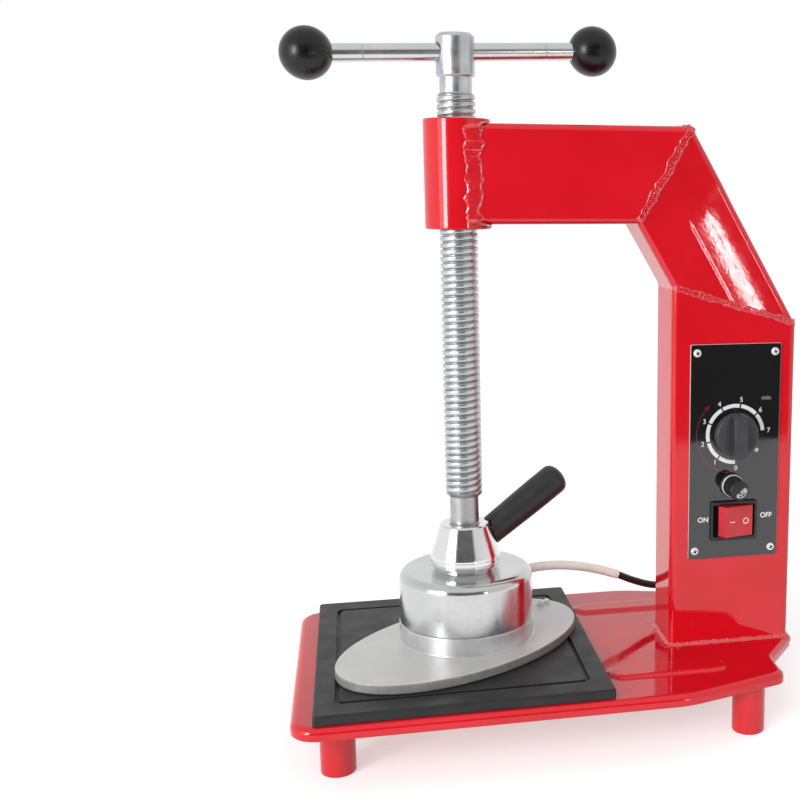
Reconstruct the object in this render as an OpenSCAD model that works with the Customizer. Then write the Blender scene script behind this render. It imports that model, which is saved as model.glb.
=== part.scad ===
// Bench tyre-patch vulcanizer: a welded C-frame screw press with an electrically heated head.
// Millimetres, +Z up, origin under the middle of the base at the floor.

/* [Base] */
// Length of the base plate with its nose
base_l = 393; // [370:1:440]
// Width of the base plate
base_w = 236; // [220:1:280]
// Height of the base plate's top above the floor
base_top = 47; // [36:1:70]
// Sheet thickness of the base plate
plate_t = 3; // [2:0.5:5]
// Height of the turned-down edge, with the sheet
edge_h = 9; // [6:0.5:16]
// Radius of the two square corners
corner_r = 20; // [8:1:30]
// Width over the two ears at the post end
ear_w = 188; // [180:1:210]
// Radius of the ear tips
ear_r = 11; // [6:1:16]
// Length over which the long edges run in to the ears
taper_l = 82; // [50:1:110]
// How far the nose reaches past the ears
nose_l = 30; // [15:1:40]
// Width of the nose at its tip
nose_w = 46; // [36:1:60]
// Width of the nose where it leaves the ears
nose_root_w = 124; // [100:1:140]
// Diameter of a foot
foot_d = 25; // [16:1:32]
// Distance between the two foot rows
foot_row_w = 170; // [150:1:170]
// Front feet from the square end of the base
foot_inset_front = 31; // [20:1:50]
// Rear feet from the tip of the nose
foot_inset_rear = 57; // [50:1:90]
// Width of a pressed stiffening bead
bead_w = 26; // [14:1:34]
// Height of a pressed bead
bead_h = 2.5; // [1:0.5:4]
// Distance between the two beads
bead_row_w = 141; // [100:1:150]
// End of a bead from the tip of the nose
bead_inset = 69; // [60:1:90]

/* [Press pad] */
// Length of the rubber pad
pad_l = 211; // [180:1:216]
// Width of the rubber pad
pad_w = 228; // [200:1:228]
// Thickness of the rubber pad
pad_t = 7.6; // [5:0.2:14]
// Chamfer round the pad's top
pad_chamfer = 1.6; // [0.6:0.2:2.4]
// Pad from the square end of the base
pad_inset = 15.5; // [8:0.5:30]
// Line groove from the ends of the pad
groove_inset_x = 16.5; // [10:0.5:30]
// Line groove from the sides of the pad
groove_inset_y = 20; // [10:0.5:30]
// Width of the line groove
groove_w = 3; // [1.5:0.5:5]
// Depth of the line groove
groove_deep = 1.6; // [0.6:0.2:3]

/* [Frame] */
// Width of the post tube, seen from the front
post_w = 100; // [90:1:110]
// Depth of the three tubes
tube_d = 50; // [46:1:60]
// Wall of the three tubes
tube_wall = 3; // [2:0.5:4]
// Outer corner radius of the tubes
tube_r = 5; // [4.5:0.5:8]
// Post from the tip of the nose
post_inset = 3.5; // [2:0.5:12]
// Height of the arm and brace tubes
arm_h = 72; // [60:1:80]
// Top of the arm above the floor
arm_top = 453; // [440:1:500]
// Lean of the brace from upright
brace_lean = 30; // [26:1:36]
// Sideways run of the brace's inner edge
brace_run = 27.5; // [20:0.5:40]
// Outer diameter of the threaded bush
bush_d = 49; // [44:0.5:56]
// How far the bush stands past the arm
bush_proud = 3.6; // [1:0.2:8]
// Screw axis from the square end of the base
screw_inset = 131; // [125:1:140]

/* [Spindle] */
// Outside diameter of the trapezoidal thread
thread_d = 28; // [24:0.5:32]
// Pitch of the thread
pitch = 5; // [4:0.5:6]
// Depth of the thread
thread_deep = 1.7; // [1.2:0.1:3]
// Thread that shows above the bush with the head down
thread_out = 17.9; // [12:0.1:30]
// Diameter of the cross-drilled head
head_d = 28; // [26:0.5:36]
// Height of the head
head_h = 30.5; // [24:0.5:40]
// Chamfer on the head
head_chamfer = 2.5; // [0.5:0.5:4]
// Diameter of the neck under the head
neck_d = 23.4; // [18:0.2:24]
// Height of the neck under the head
neck_h = 11.8; // [6:0.2:20]
// Diameter of the plain end that turns in the socket
shank_d = 22; // [18:0.5:24]
// Plain end that shows above the socket
shank_out = 22; // [10:1:40]
// Diameter of the tommy bar
bar_d = 13; // [8:0.5:14]
// Cross hole of the head
bar_hole_d = 15; // [14:0.5:16]
// Distance from the screw axis to the middle of a ball knob
bar_reach = 105; // [80:1:140]
// Turn of the bar about the screw axis
bar_turn = 7.7; // [-90:0.1:90]
// Rise of the loose bar towards its right end
bar_rise = 2.65; // [0:0.05:3]
// Bar above the neck's end
bar_up = 17.4; // [15:0.2:22]
// Ball knob diameter
ball_d = 37; // [28:1:48]
// Depth of the bar's seat in a ball knob
ball_seat = 26; // [14:1:28]
// Width of the turned grooves on the bar
bar_groove_w = 1; // [0.5:0.1:2]
// Turned grooves from the screw axis
bar_groove_x = 67; // [50:1:80]

/* [Heating head] */
// Half length of the oval heating plate
plate_a = 108; // [90:1:112]
// Half width of the oval heating plate
plate_b = 63; // [58:1:80]
// Thickness of the heating plate
plate_h = 7.4; // [5:0.2:12]
// Turn of the oval about the screw axis
plate_turn = 35; // [0:1:60]
// Shift of the oval along its length
plate_shift_l = -10; // [-12:0.5:12]
// Shift of the oval across its length
plate_shift_w = -5; // [-6:0.5:6]
// Diameter of the plate's round boss
boss_d = 104; // [100:0.5:110]
// Height of the boss
boss_h = 14.6; // [8:0.2:24]
// Height of the spigot inside the drum
spigot_h = 8; // [5:0.5:12]
// Outer diameter of the drum
drum_d = 103; // [96:0.5:110]
// Height of the drum
drum_h = 39.6; // [36:0.2:50]
// Fillet round the drum's top
drum_fillet = 6.5; // [2:0.5:8]
// Wall of the drum
drum_wall = 5; // [3:0.5:8]
// Roof of the drum
drum_roof = 8; // [5:0.5:12]
// Top diameter of the cone socket
cone_top_d = 39; // [36:0.5:46]
// Largest diameter of the cone socket
cone_base_d = 54; // [50:0.5:60]
// Foot diameter of the cone socket
cone_foot_d = 48; // [44:0.5:52]
// Height of the cone socket
cone_h = 36; // [34:0.5:44]
// Height of the straight band round the cone
cone_band_h = 7; // [4:0.5:9]
// Height of the taper under the band
cone_foot_h = 4.5; // [2:0.5:6]
// Chamfer on the cone's top edge
cone_chamfer = 1.2; // [0.4:0.2:2]
// Floor left under the cone's bore
cone_floor = 9; // [6:0.5:12]
// Diameter of the thrust ball
thrust_d = 12; // [8:0.5:14]
// Diameter of the grip at the cone
grip_low_d = 20.6; // [16:0.2:24]
// Diameter of the grip near its end
grip_high_d = 24.4; // [20:0.2:28]
// Length of the grip along its axis
grip_l = 80; // [70:1:100]
// Turn of the grip about the screw axis
grip_turn = 15; // [0:1:30]
// Rise of the grip
grip_rise = 33; // [26:1:40]
// Height on the screw axis that the grip points at, above the drum
grip_up = 12.5; // [12:0.5:16]
// Diameter of the stud in the grip
grip_stud_d = 8; // [6:0.5:10]

/* [Control panel] */
// Width of the panel
panel_w = 73.4; // [66:0.2:84]
// Height of the panel
panel_h = 171; // [164:1:190]
// Thickness of the panel
panel_t = 2; // [1:0.5:4]
// Middle of the panel above the base plate
panel_mid = 157; // [145:1:165]
// Middle of the panel right of the post's middle
panel_right = 0.7; // [0:0.1:2]
// Screw rows from the panel's sides
panel_screw_inset_x = 5.2; // [4:0.2:6]
// Screw rows from the panel's ends
panel_screw_inset_z = 6.6; // [5:0.2:9]
// Dial above the panel's middle
dial_up = 14.4; // [8:0.2:20]
// Fuse below the panel's middle
fuse_down = 26.5; // [22:0.5:30]
// Fuse left of the panel's middle line
fuse_left = 1.7; // [0:0.1:8]
// Rocker below the panel's middle
rocker_down = 55; // [52:0.5:58]
// Knob diameter
knob_d = 35.5; // [30:0.5:40]
// Knob height
knob_h = 16; // [12:0.5:22]
// Width of the timer box
timer_w = 46; // [40:1:50]
// Depth of the timer box
timer_deep = 26; // [18:1:34]
// Timer shaft diameter
timer_shaft_d = 6; // [5:0.5:7]
// Width of the rocker's bezel
rocker_w = 38.4; // [37.2:0.2:42]
// Height of the rocker's bezel
rocker_h = 32; // [30:0.5:33]
// Width of the rocker's face
button_w = 24; // [20:0.5:26]
// Width of the rocker's foot
button_foot_w = 30.4; // [28:0.2:31]
// Height of the rocker's button
button_h = 24.8; // [22:0.2:27]
// Turn of the rocker from one side to the other
rocker_throw = 24; // [16:1:28]
// Fuse flange diameter
fuse_flange_d = 20; // [18:0.5:22]
// Fuse cap diameter
fuse_cap_d = 15.4; // [14:0.2:16]
// How far the fuse cap stands out of its flange
fuse_cap_out = 18; // [10:0.5:22]

/* [Leads] */
// Outside diameter of the heat-proof sleeve
sleeve_d = 7.5; // [5:0.5:9]
// Outside diameter of the black lead
lead_d = 6; // [5:0.5:7]

/* [Clearances] */
// Radial play between turning or sliding round parts
run_play = 0.05; // [0.02:0.01:0.1]
// Gap between curved faces that pass each other
pass_gap = 0.3; // [0.3:0.05:0.5]
// Gap between fixed pieces that nest in each other
nest_gap = 0.1; // [0.05:0.05:0.2]

/* [Hidden] */
$fn = 64;
arc_steps = 8;
far = 600;
over = 1;

// Colours of the finishes
red_paint = "#d2121f";
zinc = "#c3c8c9";
polished = "#d9dbdc";
cast_grey = "#aeb0ac";
black_plastic = "#1c1d1f";
rubber_black = "#2a2b2d";
brass = "#c9a24a";

// Main places along X and Z
left_x = -base_l / 2;
right_x = base_l / 2;
screw_x = left_x + screw_inset;
ear_x = right_x - nose_l;
post_x1 = right_x - post_inset;
post_x0 = post_x1 - post_w;
post_mid = (post_x0 + post_x1) / 2;
post_front = -tube_d / 2;
post_back = tube_d / 2;
arm_low = arm_top - arm_h;
mitre = (90 - brace_lean) / 2;
mitre_in_x = post_x0 - brace_run;
mitre_out_x = mitre_in_x + arm_h * tan(mitre);
post_in_z = arm_low - brace_run / tan(brace_lean);
post_out_z = arm_top - (post_x1 - mitre_out_x) / tan(brace_lean);
post_slope = atan((post_in_z - post_out_z) / post_w);
pad_x0 = left_x + pad_inset;
pad_x1 = pad_x0 + pad_l;
pad_top = base_top + pad_t;
bush_z0 = arm_low - bush_proud;
bush_z1 = arm_top + bush_proud;

// Heating head, from the pad upwards
plate_z = pad_top + pass_gap;
boss_z = plate_z + plate_h;
drum_z = boss_z + boss_h;
cone_z = drum_z + drum_h;
cone_top_z = cone_z + cone_h;
bore_z = cone_z + cone_floor;
bore_d = shank_d + 2 * pass_gap;
cavity_d = drum_d - 2 * drum_wall;
cavity_z = drum_z + spigot_h;
roof_z = cone_z - drum_roof;
spigot_d = cavity_d - 2 * nest_gap;
stack_gap = 4;
stack_d = spigot_d - 2 * stack_gap;
mica_t = 1;
element_t = 3;
pressure_t = 4;
element_z = cavity_z + mica_t;
pressure_z = element_z + element_t + mica_t;
stack_top = pressure_z + pressure_t;
clamp_inset = 7;
clamp_ring = stack_d / 2 - clamp_inset;
clamp_d = 5;
clamp_deep = 6;
clamp_short = 1;
clamp_head_d = 8.5;
clamp_head_h = 4;
clamp_count = 3;
clamp_turn = 75;
stack_hole_d = 20;
thermostat_d = 16;
thermostat_h = 6;
thermostat_r = 24;
thermostat_turn = 255;
stud_d = 12;
stud_up = 6;
nut_w = 19;
nut_h = 7;
nut_tail = 2;

// Retaining screws that hold the spindle in the socket
grub_z = bore_z + thrust_d + 5;
grub_d = 6;
grub_tip_d = 4;
grub_turns = [60, 150];
grub_groove_h = grub_tip_d + 1;
grub_groove_deep = 3;
grub_sink = 1.2;
grub_gap = 0.6;

// Two domed studs near the right end of the plate
plate_stud_insets = [15, 7.5];
plate_stud_y = 8;
plate_stud_d = 4;
plate_stud_top_d = 2.4;
plate_stud_h = 1.6;

// Grip beside the cone
grip_gap = 0.4;
grip_wall = 4;
grip_stud_l = 50;
grip_dome = 7.7;
grip_swell = 23;

// Spindle heights
thrust_sink = 3;
shank_z = bore_z + thrust_d - thrust_sink;
thread_z0 = cone_top_z + shank_out;
thread_z1 = bush_z1 + thread_out;
neck_z = thread_z1 + neck_h;
head_top_z = neck_z + head_h;
bar_z = neck_z + bar_up;
ball_face = 1.2;
crest_share = 0.366;
thread_flat = pitch * crest_share;
thread_rise = pitch * (0.5 - crest_share);
thread_turns = floor((thread_z1 - thread_z0) / pitch);

// Control panel places
panel_x = post_mid + panel_right;
panel_z = base_top + panel_mid;
panel_front = post_front - panel_t;
window_inset_x = 9;
window_inset_z = 13;
window_w = panel_w - 2 * window_inset_x;
window_h = panel_h - 2 * window_inset_z;
dial_z = panel_z + dial_up;
fuse_x = panel_x - fuse_left;
fuse_z = panel_z - fuse_down;
rocker_x = panel_x;
rocker_z = panel_z - rocker_down;
knob_gap = 1.2;
knob_back = panel_front - knob_gap;
timer_bush_d = 10;
timer_bush_out = 4.5;
timer_nut_w = 14;
timer_nut_t = 2.5;
knob_recess_d = 20;
knob_recess_deep = 5;
knob_cover = 4;
knob_skirt_h = 7.2;
knob_skirt_top_d = knob_d - 1.4;
knob_bar_w = 10.6;
knob_bar_d = knob_d - 1.8;
timer_floor = 4;
screw_head_d = 7;
screw_top_d = 4.9;
screw_head_h = 2;
screw_d = 4;
screw_l = 9;
bezel_t = 2.5;
rocker_wall = 1;
rocker_pivot_in = 9;
button_proud = 3.9;
button_dish = 0.6;
button_foot_down = 3.1;
button_face = rocker_pivot_in + bezel_t + button_proud;
button_foot = rocker_pivot_in + bezel_t - button_foot_down;
button_sweep = button_foot_w / 2 * cos(rocker_throw / 2) + button_foot * sin(rocker_throw / 2);
rocker_box_w = 2 * (button_sweep + pass_gap + rocker_wall);
rocker_box_h = button_h + 2 * (pass_gap + rocker_wall);
rocker_box_deep = 20;
rocker_pivot_y = panel_front + rocker_pivot_in;
rocker_pin_d = 4;
rocker_pin_l = 0.9;
tab_w = 6.3;
tab_t = 0.8;
tab_l = 10;
tab_step = 9;
flange_t = 2.5;
barrel_d = 12.5;
barrel_l = 30;
barrel_floor = 2;
fuse_ring_d = 18;
fuse_ring_t = 2;
fuse_nut_w = 18;
fuse_nut_t = 4;
fuse_glass_d = 4.6;
fuse_link_l = 20;
fuse_end_l = 5;
fuse_end_d = 5.2;
barrel_bore_d = fuse_end_d + 2 * pass_gap;
fuse_spigot_l = 5;
fuse_cap_gap = 0.4;
fuse_cap_edge = 1;

// Glands and the terminal block
gland_hex = 0.4;
gland_taper = 0.72;
gland_tail = 4;
gland_d = 16;
gland_l = 14;
gland_thread_d = 11;
lead_gland_x = post_mid + 3.5;
lead_gland_z = base_top + 103;
mains_gland_x = post_mid + 26;
mains_gland_z = base_top + 30;
mains_gland_d = 20;
mains_gland_l = 18;
mains_thread_d = 14;
mains_bore_d = 8;
block_w = 34;
block_h = 26;
block_deep = 12;
block_z = base_top + 200;
head_gland_turn = 29;
head_gland_z = drum_z + 24.6;
head_gland_d = 10;
head_gland_out = 2.7;
head_gland_tail = 3;
head_gland_flange_d = 13;
sleeve_grip = 0.5;

// Routes of the two leads, measured from the screw axis
lead_sides = 10;
lead_side = [0.2, -1, 0.3];
sleeve_route = [
    [48.15, 26.65, 101.5], [56.5, 31, 101.5], [68, 35.5, 101], [83, 39.5, 99.3], [100, 43, 95.8],
    [116, 45.8, 91], [132, 48, 85]
];
lead_route = [
    [132.6, 48.1, 84.7], [148, 51, 77.2], [165, 55, 71], [182, 60, 69], [197, 64, 74], [207, 67, 86],
    [211, 68.5, 102], [212, 68.5, 118], [212, 66, 133], [212, 58, 145], [212, 47, 150], [212, 39, 150]
];

// Corners of the base plate as [x, y, radius], anticlockwise, with the front half mirrored
taper_r = 80;
base_front = [
    [left_x, -base_w / 2, corner_r],
    [ear_x - taper_l, -base_w / 2, taper_r],
    [ear_x, -ear_w / 2, ear_r],
    [ear_x, -nose_root_w / 2, ear_r],
    [right_x, -nose_w / 2, ear_r]
];
base_corners = concat(base_front, [for (i = [len(base_front) - 1 : -1 : 0])
    [base_front[i].x, -base_front[i].y, base_front[i].z]]);

function unit(v) = v / norm(v);
function plan(c) = [c.x, c.y];
function left_of(v) = [-v.y, v.x];
function wrap(list, i) = list[(i + len(list)) % len(list)];

// Points of a rounded corner at b, between the neighbours a and c
function corner_arc(a, b, c, r) =
    let (
        u = unit(a - b),
        w = unit(c - b),
        half = acos(u * w) / 2,
        centre = b + unit(u + w) * r / sin(half),
        first = b + u * r / tan(half) - centre,
        last = b + w * r / tan(half) - centre,
        start = atan2(first.y, first.x),
        sweep = (atan2(last.y, last.x) - start + 540) % 360 - 180
    )
    [for (i = [0 : arc_steps])
        let (a = start + sweep * i / arc_steps) centre + r * [cos(a), sin(a)]];

// Outline of a list of rounded corners
function outline(corners) = [for (i = [0 : len(corners) - 1])
    let (before = plan(wrap(corners, i - 1)), after = plan(wrap(corners, i + 1)))
    each corner_arc(before, plan(corners[i]), after, corners[i].z)];

// The same corners moved inwards by d
function inset_corners(corners, d) = [for (i = [0 : len(corners) - 1])
    let (
        b = plan(corners[i]),
        n1 = left_of(unit(b - plan(wrap(corners, i - 1)))),
        n2 = left_of(unit(plan(wrap(corners, i + 1)) - b)),
        moved = b + d * (n1 + n2) / (1 + n1 * n2),
        hollow = cross(n1, n2) < 0
    )
    [moved.x, moved.y, corners[i].z + (hollow ? d : -d)]];

// Direction of a route at one of its points, and a side vector carried along it
function heading(route, i) = unit(route[min(i + 1, len(route) - 1)] - route[max(i - 1, 0)]);
function side(route, i) =
    let (t = heading(route, i), s = i == 0 ? lead_side : side(route, i - 1))
    unit(s - t * (s * t));

// Round tube swept along a route's own points
module swept_tube(route, d, sides) {
    last = len(route) - 1;
    rings = [for (i = [0 : last], k = [0 : sides - 1])
        let (t = heading(route, i), s = side(route, i), a = 360 * k / sides)
        route[i] + d / 2 * (cos(a) * s + sin(a) * cross(t, s))];
    skin = [for (i = [0 : last - 1], k = [0 : sides - 1])
        let (a = i * sides + k, b = i * sides + (k + 1) % sides)
        each [[a, a + sides, b], [b, a + sides, b + sides]]];
    ends = [[for (k = [0 : sides - 1]) k], [for (k = [sides - 1 : -1 : 0]) last * sides + k]];
    polyhedron(rings, concat(skin, ends));
}

// Flat rectangle with true round corners, centred
module round_rect(w, h, r) {
    square([w - 2 * r, h], center = true);
    square([w, h - 2 * r], center = true);
    for (x = [-1, 1], y = [-1, 1])
        translate([x * (w / 2 - r), y * (h / 2 - r)]) circle(r);
}

// Section of a rectangular tube
module tube_section(w, h) {
    difference() {
        round_rect(w, h, tube_r);
        round_rect(w - 2 * tube_wall, h - 2 * tube_wall, tube_r - tube_wall);
    }
}

// Everything on the far side of a plane through [x, z], leaning from upright towards +X
module beyond_plane(x, z, lean, side_sign) {
    translate([x, 0, z]) rotate([0, lean, 0])
        translate([side_sign > 0 ? 0 : -far, -far / 2, -far]) cube([far, far, 2 * far]);
}

module at_screw(z) {
    translate([screw_x, 0, z]) children();
}

// Points along -Y from a place on the panel
module at_panel(x, y, z) {
    translate([x, y, z]) rotate([90, 0, 0]) children();
}

// Points along +Y from a place on the post's back
module at_back(x, z) {
    translate([x, post_back, z]) rotate([-90, 0, 0]) children();
}

module drilled_rod(d, bore, l) {
    difference() {
        cylinder(d = d, h = l);
        translate([0, 0, -over]) cylinder(d = bore, h = l + 2 * over);
    }
}

// Frame

module base_plate() {
    bead_x0 = pad_x1 + over;
    bead_x1 = right_x - bead_inset - bead_w / 2;
    color(red_paint) {
        difference() {
            translate([0, 0, base_top - edge_h]) linear_extrude(edge_h) polygon(outline(base_corners));
            translate([0, 0, base_top - edge_h - over]) linear_extrude(edge_h - plate_t + over)
                polygon(outline(inset_corners(base_corners, plate_t)));
        }
        for (y = [-1, 1]) translate([0, y * bead_row_w / 2, base_top]) {
            translate([bead_x0, -bead_w / 2, 0]) cube([bead_x1 - bead_x0, bead_w, bead_h]);
            translate([bead_x1, 0, 0]) cylinder(d = bead_w, h = bead_h);
        }
    }
}

module base_feet() {
    color(red_paint)
        for (x = [left_x + foot_inset_front, right_x - foot_inset_rear], y = [-1, 1])
            translate([x, y * foot_row_w / 2, 0]) cylinder(d = foot_d, h = base_top - plate_t);
}

module post_tube() {
    deep = tube_wall + 2 * over;
    color(red_paint) difference() {
        translate([post_mid, 0, base_top]) linear_extrude(arm_top) tube_section(post_w, tube_d);
        translate([post_x0, 0, post_in_z]) rotate([0, post_slope, 0])
            translate([-far / 2, -far / 2, 0]) cube([far, far, far]);
        at_panel(panel_x, post_front + tube_wall + over, panel_z)
            translate([-window_w / 2, -window_h / 2, 0]) cube([window_w, window_h, deep]);
        panel_screw_places(post_front + tube_wall + over) cylinder(d = screw_d + 2 * nest_gap, h = deep);
        translate([0, -tube_wall - over, 0]) {
            at_back(lead_gland_x, lead_gland_z) cylinder(d = gland_thread_d + 2 * nest_gap, h = deep);
            at_back(mains_gland_x, mains_gland_z) cylinder(d = mains_thread_d + 2 * nest_gap, h = deep);
        }
    }
}

module brace_tube() {
    mid_x = (mitre_in_x + mitre_out_x) / 2;
    color(red_paint) difference() {
        translate([mid_x, 0, arm_top - arm_h / 2]) rotate([0, -brace_lean, 0])
            translate([0, 0, -far / 2]) linear_extrude(far) tube_section(arm_h, tube_d);
        beyond_plane(mitre_in_x, arm_low, mitre, -1);
        translate([post_x0, 0, post_in_z]) rotate([0, post_slope, 0])
            translate([-far / 2, -far / 2, -far]) cube([far, far, far]);
    }
}

module arm_tube() {
    color(red_paint) difference() {
        translate([screw_x, 0, arm_top - arm_h / 2]) rotate([90, 0, 90])
            linear_extrude(far / 2) tube_section(tube_d, arm_h);
        beyond_plane(mitre_in_x, arm_low, mitre, 1);
        at_screw(0) cylinder(d = bush_d + 2 * nest_gap, h = far);
    }
}

module screw_bush() {
    color(red_paint) at_screw(bush_z0) drilled_rod(bush_d, thread_d + 2 * pass_gap, bush_z1 - bush_z0);
}

module press_pad() {
    groove_l = pad_l - 2 * groove_inset_x;
    groove_h = pad_w - 2 * groove_inset_y;
    color(rubber_black) translate([(pad_x0 + pad_x1) / 2, 0, base_top]) difference() {
        translate([-pad_l / 2, -pad_w / 2, 0]) cube([pad_l, pad_w, pad_t]);
        for (turn = [0, 90, 180, 270])
            rotate(turn) translate([(turn % 180 == 0 ? pad_l : pad_w) / 2 - pad_chamfer, 0, pad_t])
                rotate([0, 45, 0]) translate([0, -far / 2, 0]) cube([far, far, far]);
        translate([0, 0, pad_t - groove_deep]) linear_extrude(groove_deep + over) difference() {
            round_rect(groove_l + groove_w, groove_h + groove_w, 2 * groove_w);
            round_rect(groove_l - groove_w, groove_h - groove_w, groove_w);
        }
    }
}

// Control panel

module panel_screw_places(y) {
    row_x = panel_w / 2 - panel_screw_inset_x;
    row_z = panel_h / 2 - panel_screw_inset_z;
    for (x = [-row_x, row_x], z = [-row_z, row_z])
        at_panel(panel_x + x, y, panel_z + z) children();
}

module control_panel() {
    deep = panel_t + 2 * over;
    back = post_front + over;
    color(black_plastic) difference() {
        at_panel(panel_x, post_front, panel_z)
            translate([-panel_w / 2, -panel_h / 2, 0]) cube([panel_w, panel_h, panel_t]);
        panel_screw_places(back) cylinder(d = screw_d + 2 * nest_gap, h = deep);
        at_panel(panel_x, back, dial_z) cylinder(d = timer_bush_d + 2 * nest_gap, h = deep);
        at_panel(fuse_x, back, fuse_z) cylinder(d = barrel_d + 2 * nest_gap, h = deep);
        at_panel(rocker_x, back, rocker_z) translate([0, 0, deep / 2])
            cube([rocker_box_w + 2 * nest_gap, rocker_box_h + 2 * nest_gap, deep], center = true);
    }
}

module panel_screws() {
    color(zinc) panel_screw_places(panel_front) {
        cylinder(d1 = screw_head_d, d2 = screw_top_d, h = screw_head_h);
        translate([0, 0, -screw_l]) cylinder(d = screw_d, h = screw_l);
    }
}

module timer_body() {
    color("#8d8f91") at_panel(panel_x, post_front, dial_z) difference() {
        union() {
            translate([-timer_w / 2, -timer_w / 2, -timer_deep]) cube([timer_w, timer_w, timer_deep]);
            cylinder(d = timer_bush_d, h = panel_t + timer_bush_out);
        }
        translate([0, 0, timer_floor - timer_deep]) cylinder(d = timer_shaft_d + 2 * run_play, h = far);
    }
}

module timer_nut() {
    color(zinc) at_panel(panel_x, panel_front, dial_z) difference() {
        cylinder(d = timer_nut_w / cos(30), h = timer_nut_t, $fn = 6);
        translate([0, 0, -over]) cylinder(d = timer_bush_d + 2 * nest_gap, h = timer_nut_t + 2 * over);
    }
}

module timer_shaft() {
    tail = timer_deep - timer_floor - nest_gap;
    color(zinc) at_panel(panel_x, post_front + tail, dial_z)
        cylinder(d = timer_shaft_d, h = tail + panel_t + knob_gap + knob_h - knob_cover);
}

module timer_knob() {
    seat = knob_h - knob_cover + nest_gap;
    color("#6d6f73") at_panel(panel_x, knob_back, dial_z) difference() {
        union() {
            cylinder(d1 = knob_d, d2 = knob_skirt_top_d, h = knob_skirt_h);
            intersection() {
                cylinder(d = knob_bar_d, h = knob_h);
                translate([-knob_bar_w / 2, -knob_d, 0]) cube([knob_bar_w, 2 * knob_d, knob_h]);
            }
        }
        translate([0, 0, -over]) cylinder(d = knob_recess_d, h = knob_recess_deep + over);
        translate([0, 0, -over]) cylinder(d = timer_shaft_d + 2 * nest_gap, h = seat + over);
    }
}

module rocker_frame() {
    inner_w = rocker_box_w - 2 * rocker_wall;
    pin_span = button_h + 2 * (rocker_pin_l + nest_gap);
    color(black_plastic) at_panel(rocker_x, panel_front, rocker_z) difference() {
        union() {
            translate([0, 0, bezel_t / 2]) cube([rocker_w, rocker_h, bezel_t], center = true);
            translate([0, 0, -rocker_box_deep / 2])
                cube([rocker_box_w, rocker_box_h, rocker_box_deep], center = true);
        }
        translate([-inner_w / 2, -rocker_box_h / 2 + rocker_wall, rocker_wall - rocker_box_deep])
            cube([inner_w, rocker_box_h - 2 * rocker_wall, far]);
        translate([0, 0, -rocker_pivot_in]) rotate([90, 0, 0])
            cylinder(d = rocker_pin_d + 2 * run_play, h = pin_span, center = true);
    }
}

module rocker_terminals() {
    color(brass) for (x = [-1, 0, 1], z = [-1, 1])
        translate([rocker_x + x * tab_step, panel_front + rocker_box_deep, rocker_z + z * tab_step])
            translate([-tab_t / 2, 0, -tab_w / 2]) cube([tab_t, tab_l, tab_w]);
}

// The button is drawn level and then tipped to its rest, with its right half pressed in
module rocker_button() {
    half = button_w / 2;
    foot = button_foot_w / 2;
    color("#c8141c") translate([rocker_x, rocker_pivot_y, rocker_z]) rotate(rocker_throw / 2) {
        translate([0, 0, -button_h / 2]) linear_extrude(button_h) polygon([
            [-half, -button_face], [0, button_dish - button_face], [half, -button_face], [foot, -button_foot],
            [rocker_pin_d, rocker_pin_d], [-rocker_pin_d, rocker_pin_d], [-foot, -button_foot]
        ]);
        cylinder(d = rocker_pin_d, h = button_h + 2 * rocker_pin_l, center = true);
    }
}

module fuse_holder() {
    color(black_plastic) at_panel(fuse_x, panel_front, fuse_z) difference() {
        union() {
            cylinder(d = fuse_flange_d, h = flange_t);
            translate([0, 0, -barrel_l]) cylinder(d = barrel_d, h = barrel_l);
        }
        translate([0, 0, barrel_floor - barrel_l]) cylinder(d = barrel_bore_d, h = far);
    }
}

module fuse_ring() {
    color(zinc) at_panel(fuse_x, panel_front - flange_t, fuse_z)
        drilled_rod(fuse_ring_d, fuse_cap_d + 2 * pass_gap, fuse_ring_t);
}

module fuse_nut() {
    color(black_plastic) at_panel(fuse_x, post_front + fuse_nut_t, fuse_z) difference() {
        cylinder(d = fuse_nut_w / cos(30), h = fuse_nut_t, $fn = 6);
        translate([0, 0, -over]) cylinder(d = barrel_d + 2 * nest_gap, h = fuse_nut_t + 2 * over);
    }
}

module fuse_glass() {
    start = fuse_spigot_l + nest_gap + fuse_link_l - fuse_end_l;
    color("#dfe6e6") at_panel(fuse_x, panel_front - flange_t, fuse_z)
        translate([0, 0, -start]) cylinder(d = fuse_glass_d, h = fuse_link_l - 2 * fuse_end_l);
}

module fuse_ends() {
    start = fuse_spigot_l + nest_gap;
    color(brass) at_panel(fuse_x, panel_front - flange_t, fuse_z)
        for (z = [-start - fuse_end_l, -start - fuse_link_l])
            translate([0, 0, z]) cylinder(d = fuse_end_d, h = fuse_end_l);
}

module fuse_cap() {
    side_h = fuse_cap_out - fuse_cap_edge;
    color(black_plastic) at_panel(fuse_x, panel_front - flange_t - fuse_cap_gap, fuse_z) {
        cylinder(d = fuse_cap_d, h = side_h);
        translate([0, 0, side_h])
            cylinder(d1 = fuse_cap_d, d2 = fuse_cap_d - 2 * fuse_cap_edge, h = fuse_cap_edge);
        translate([0, 0, -fuse_spigot_l]) cylinder(d = fuse_end_d, h = fuse_spigot_l);
    }
}

module terminal_block() {
    color("#e8e4d8") translate([post_mid - block_w / 2, post_back - tube_wall - block_deep, block_z])
        cube([block_w, block_deep, block_h]);
}

// Gland with a hexagon, a round cap and a thread through the wall
module gland(d, l, thread, bore) {
    difference() {
        union() {
            cylinder(d = d / cos(30), h = l * gland_hex, $fn = 6);
            translate([0, 0, l * gland_hex]) cylinder(d1 = d, d2 = d * gland_taper, h = l * (1 - gland_hex));
            translate([0, 0, -tube_wall - gland_tail]) cylinder(d = thread, h = tube_wall + gland_tail);
        }
        translate([0, 0, -far / 2]) cylinder(d = bore, h = far);
    }
}

module lead_gland() {
    color(black_plastic) at_back(lead_gland_x, lead_gland_z)
        gland(gland_d, gland_l, gland_thread_d, lead_d);
}

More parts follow.
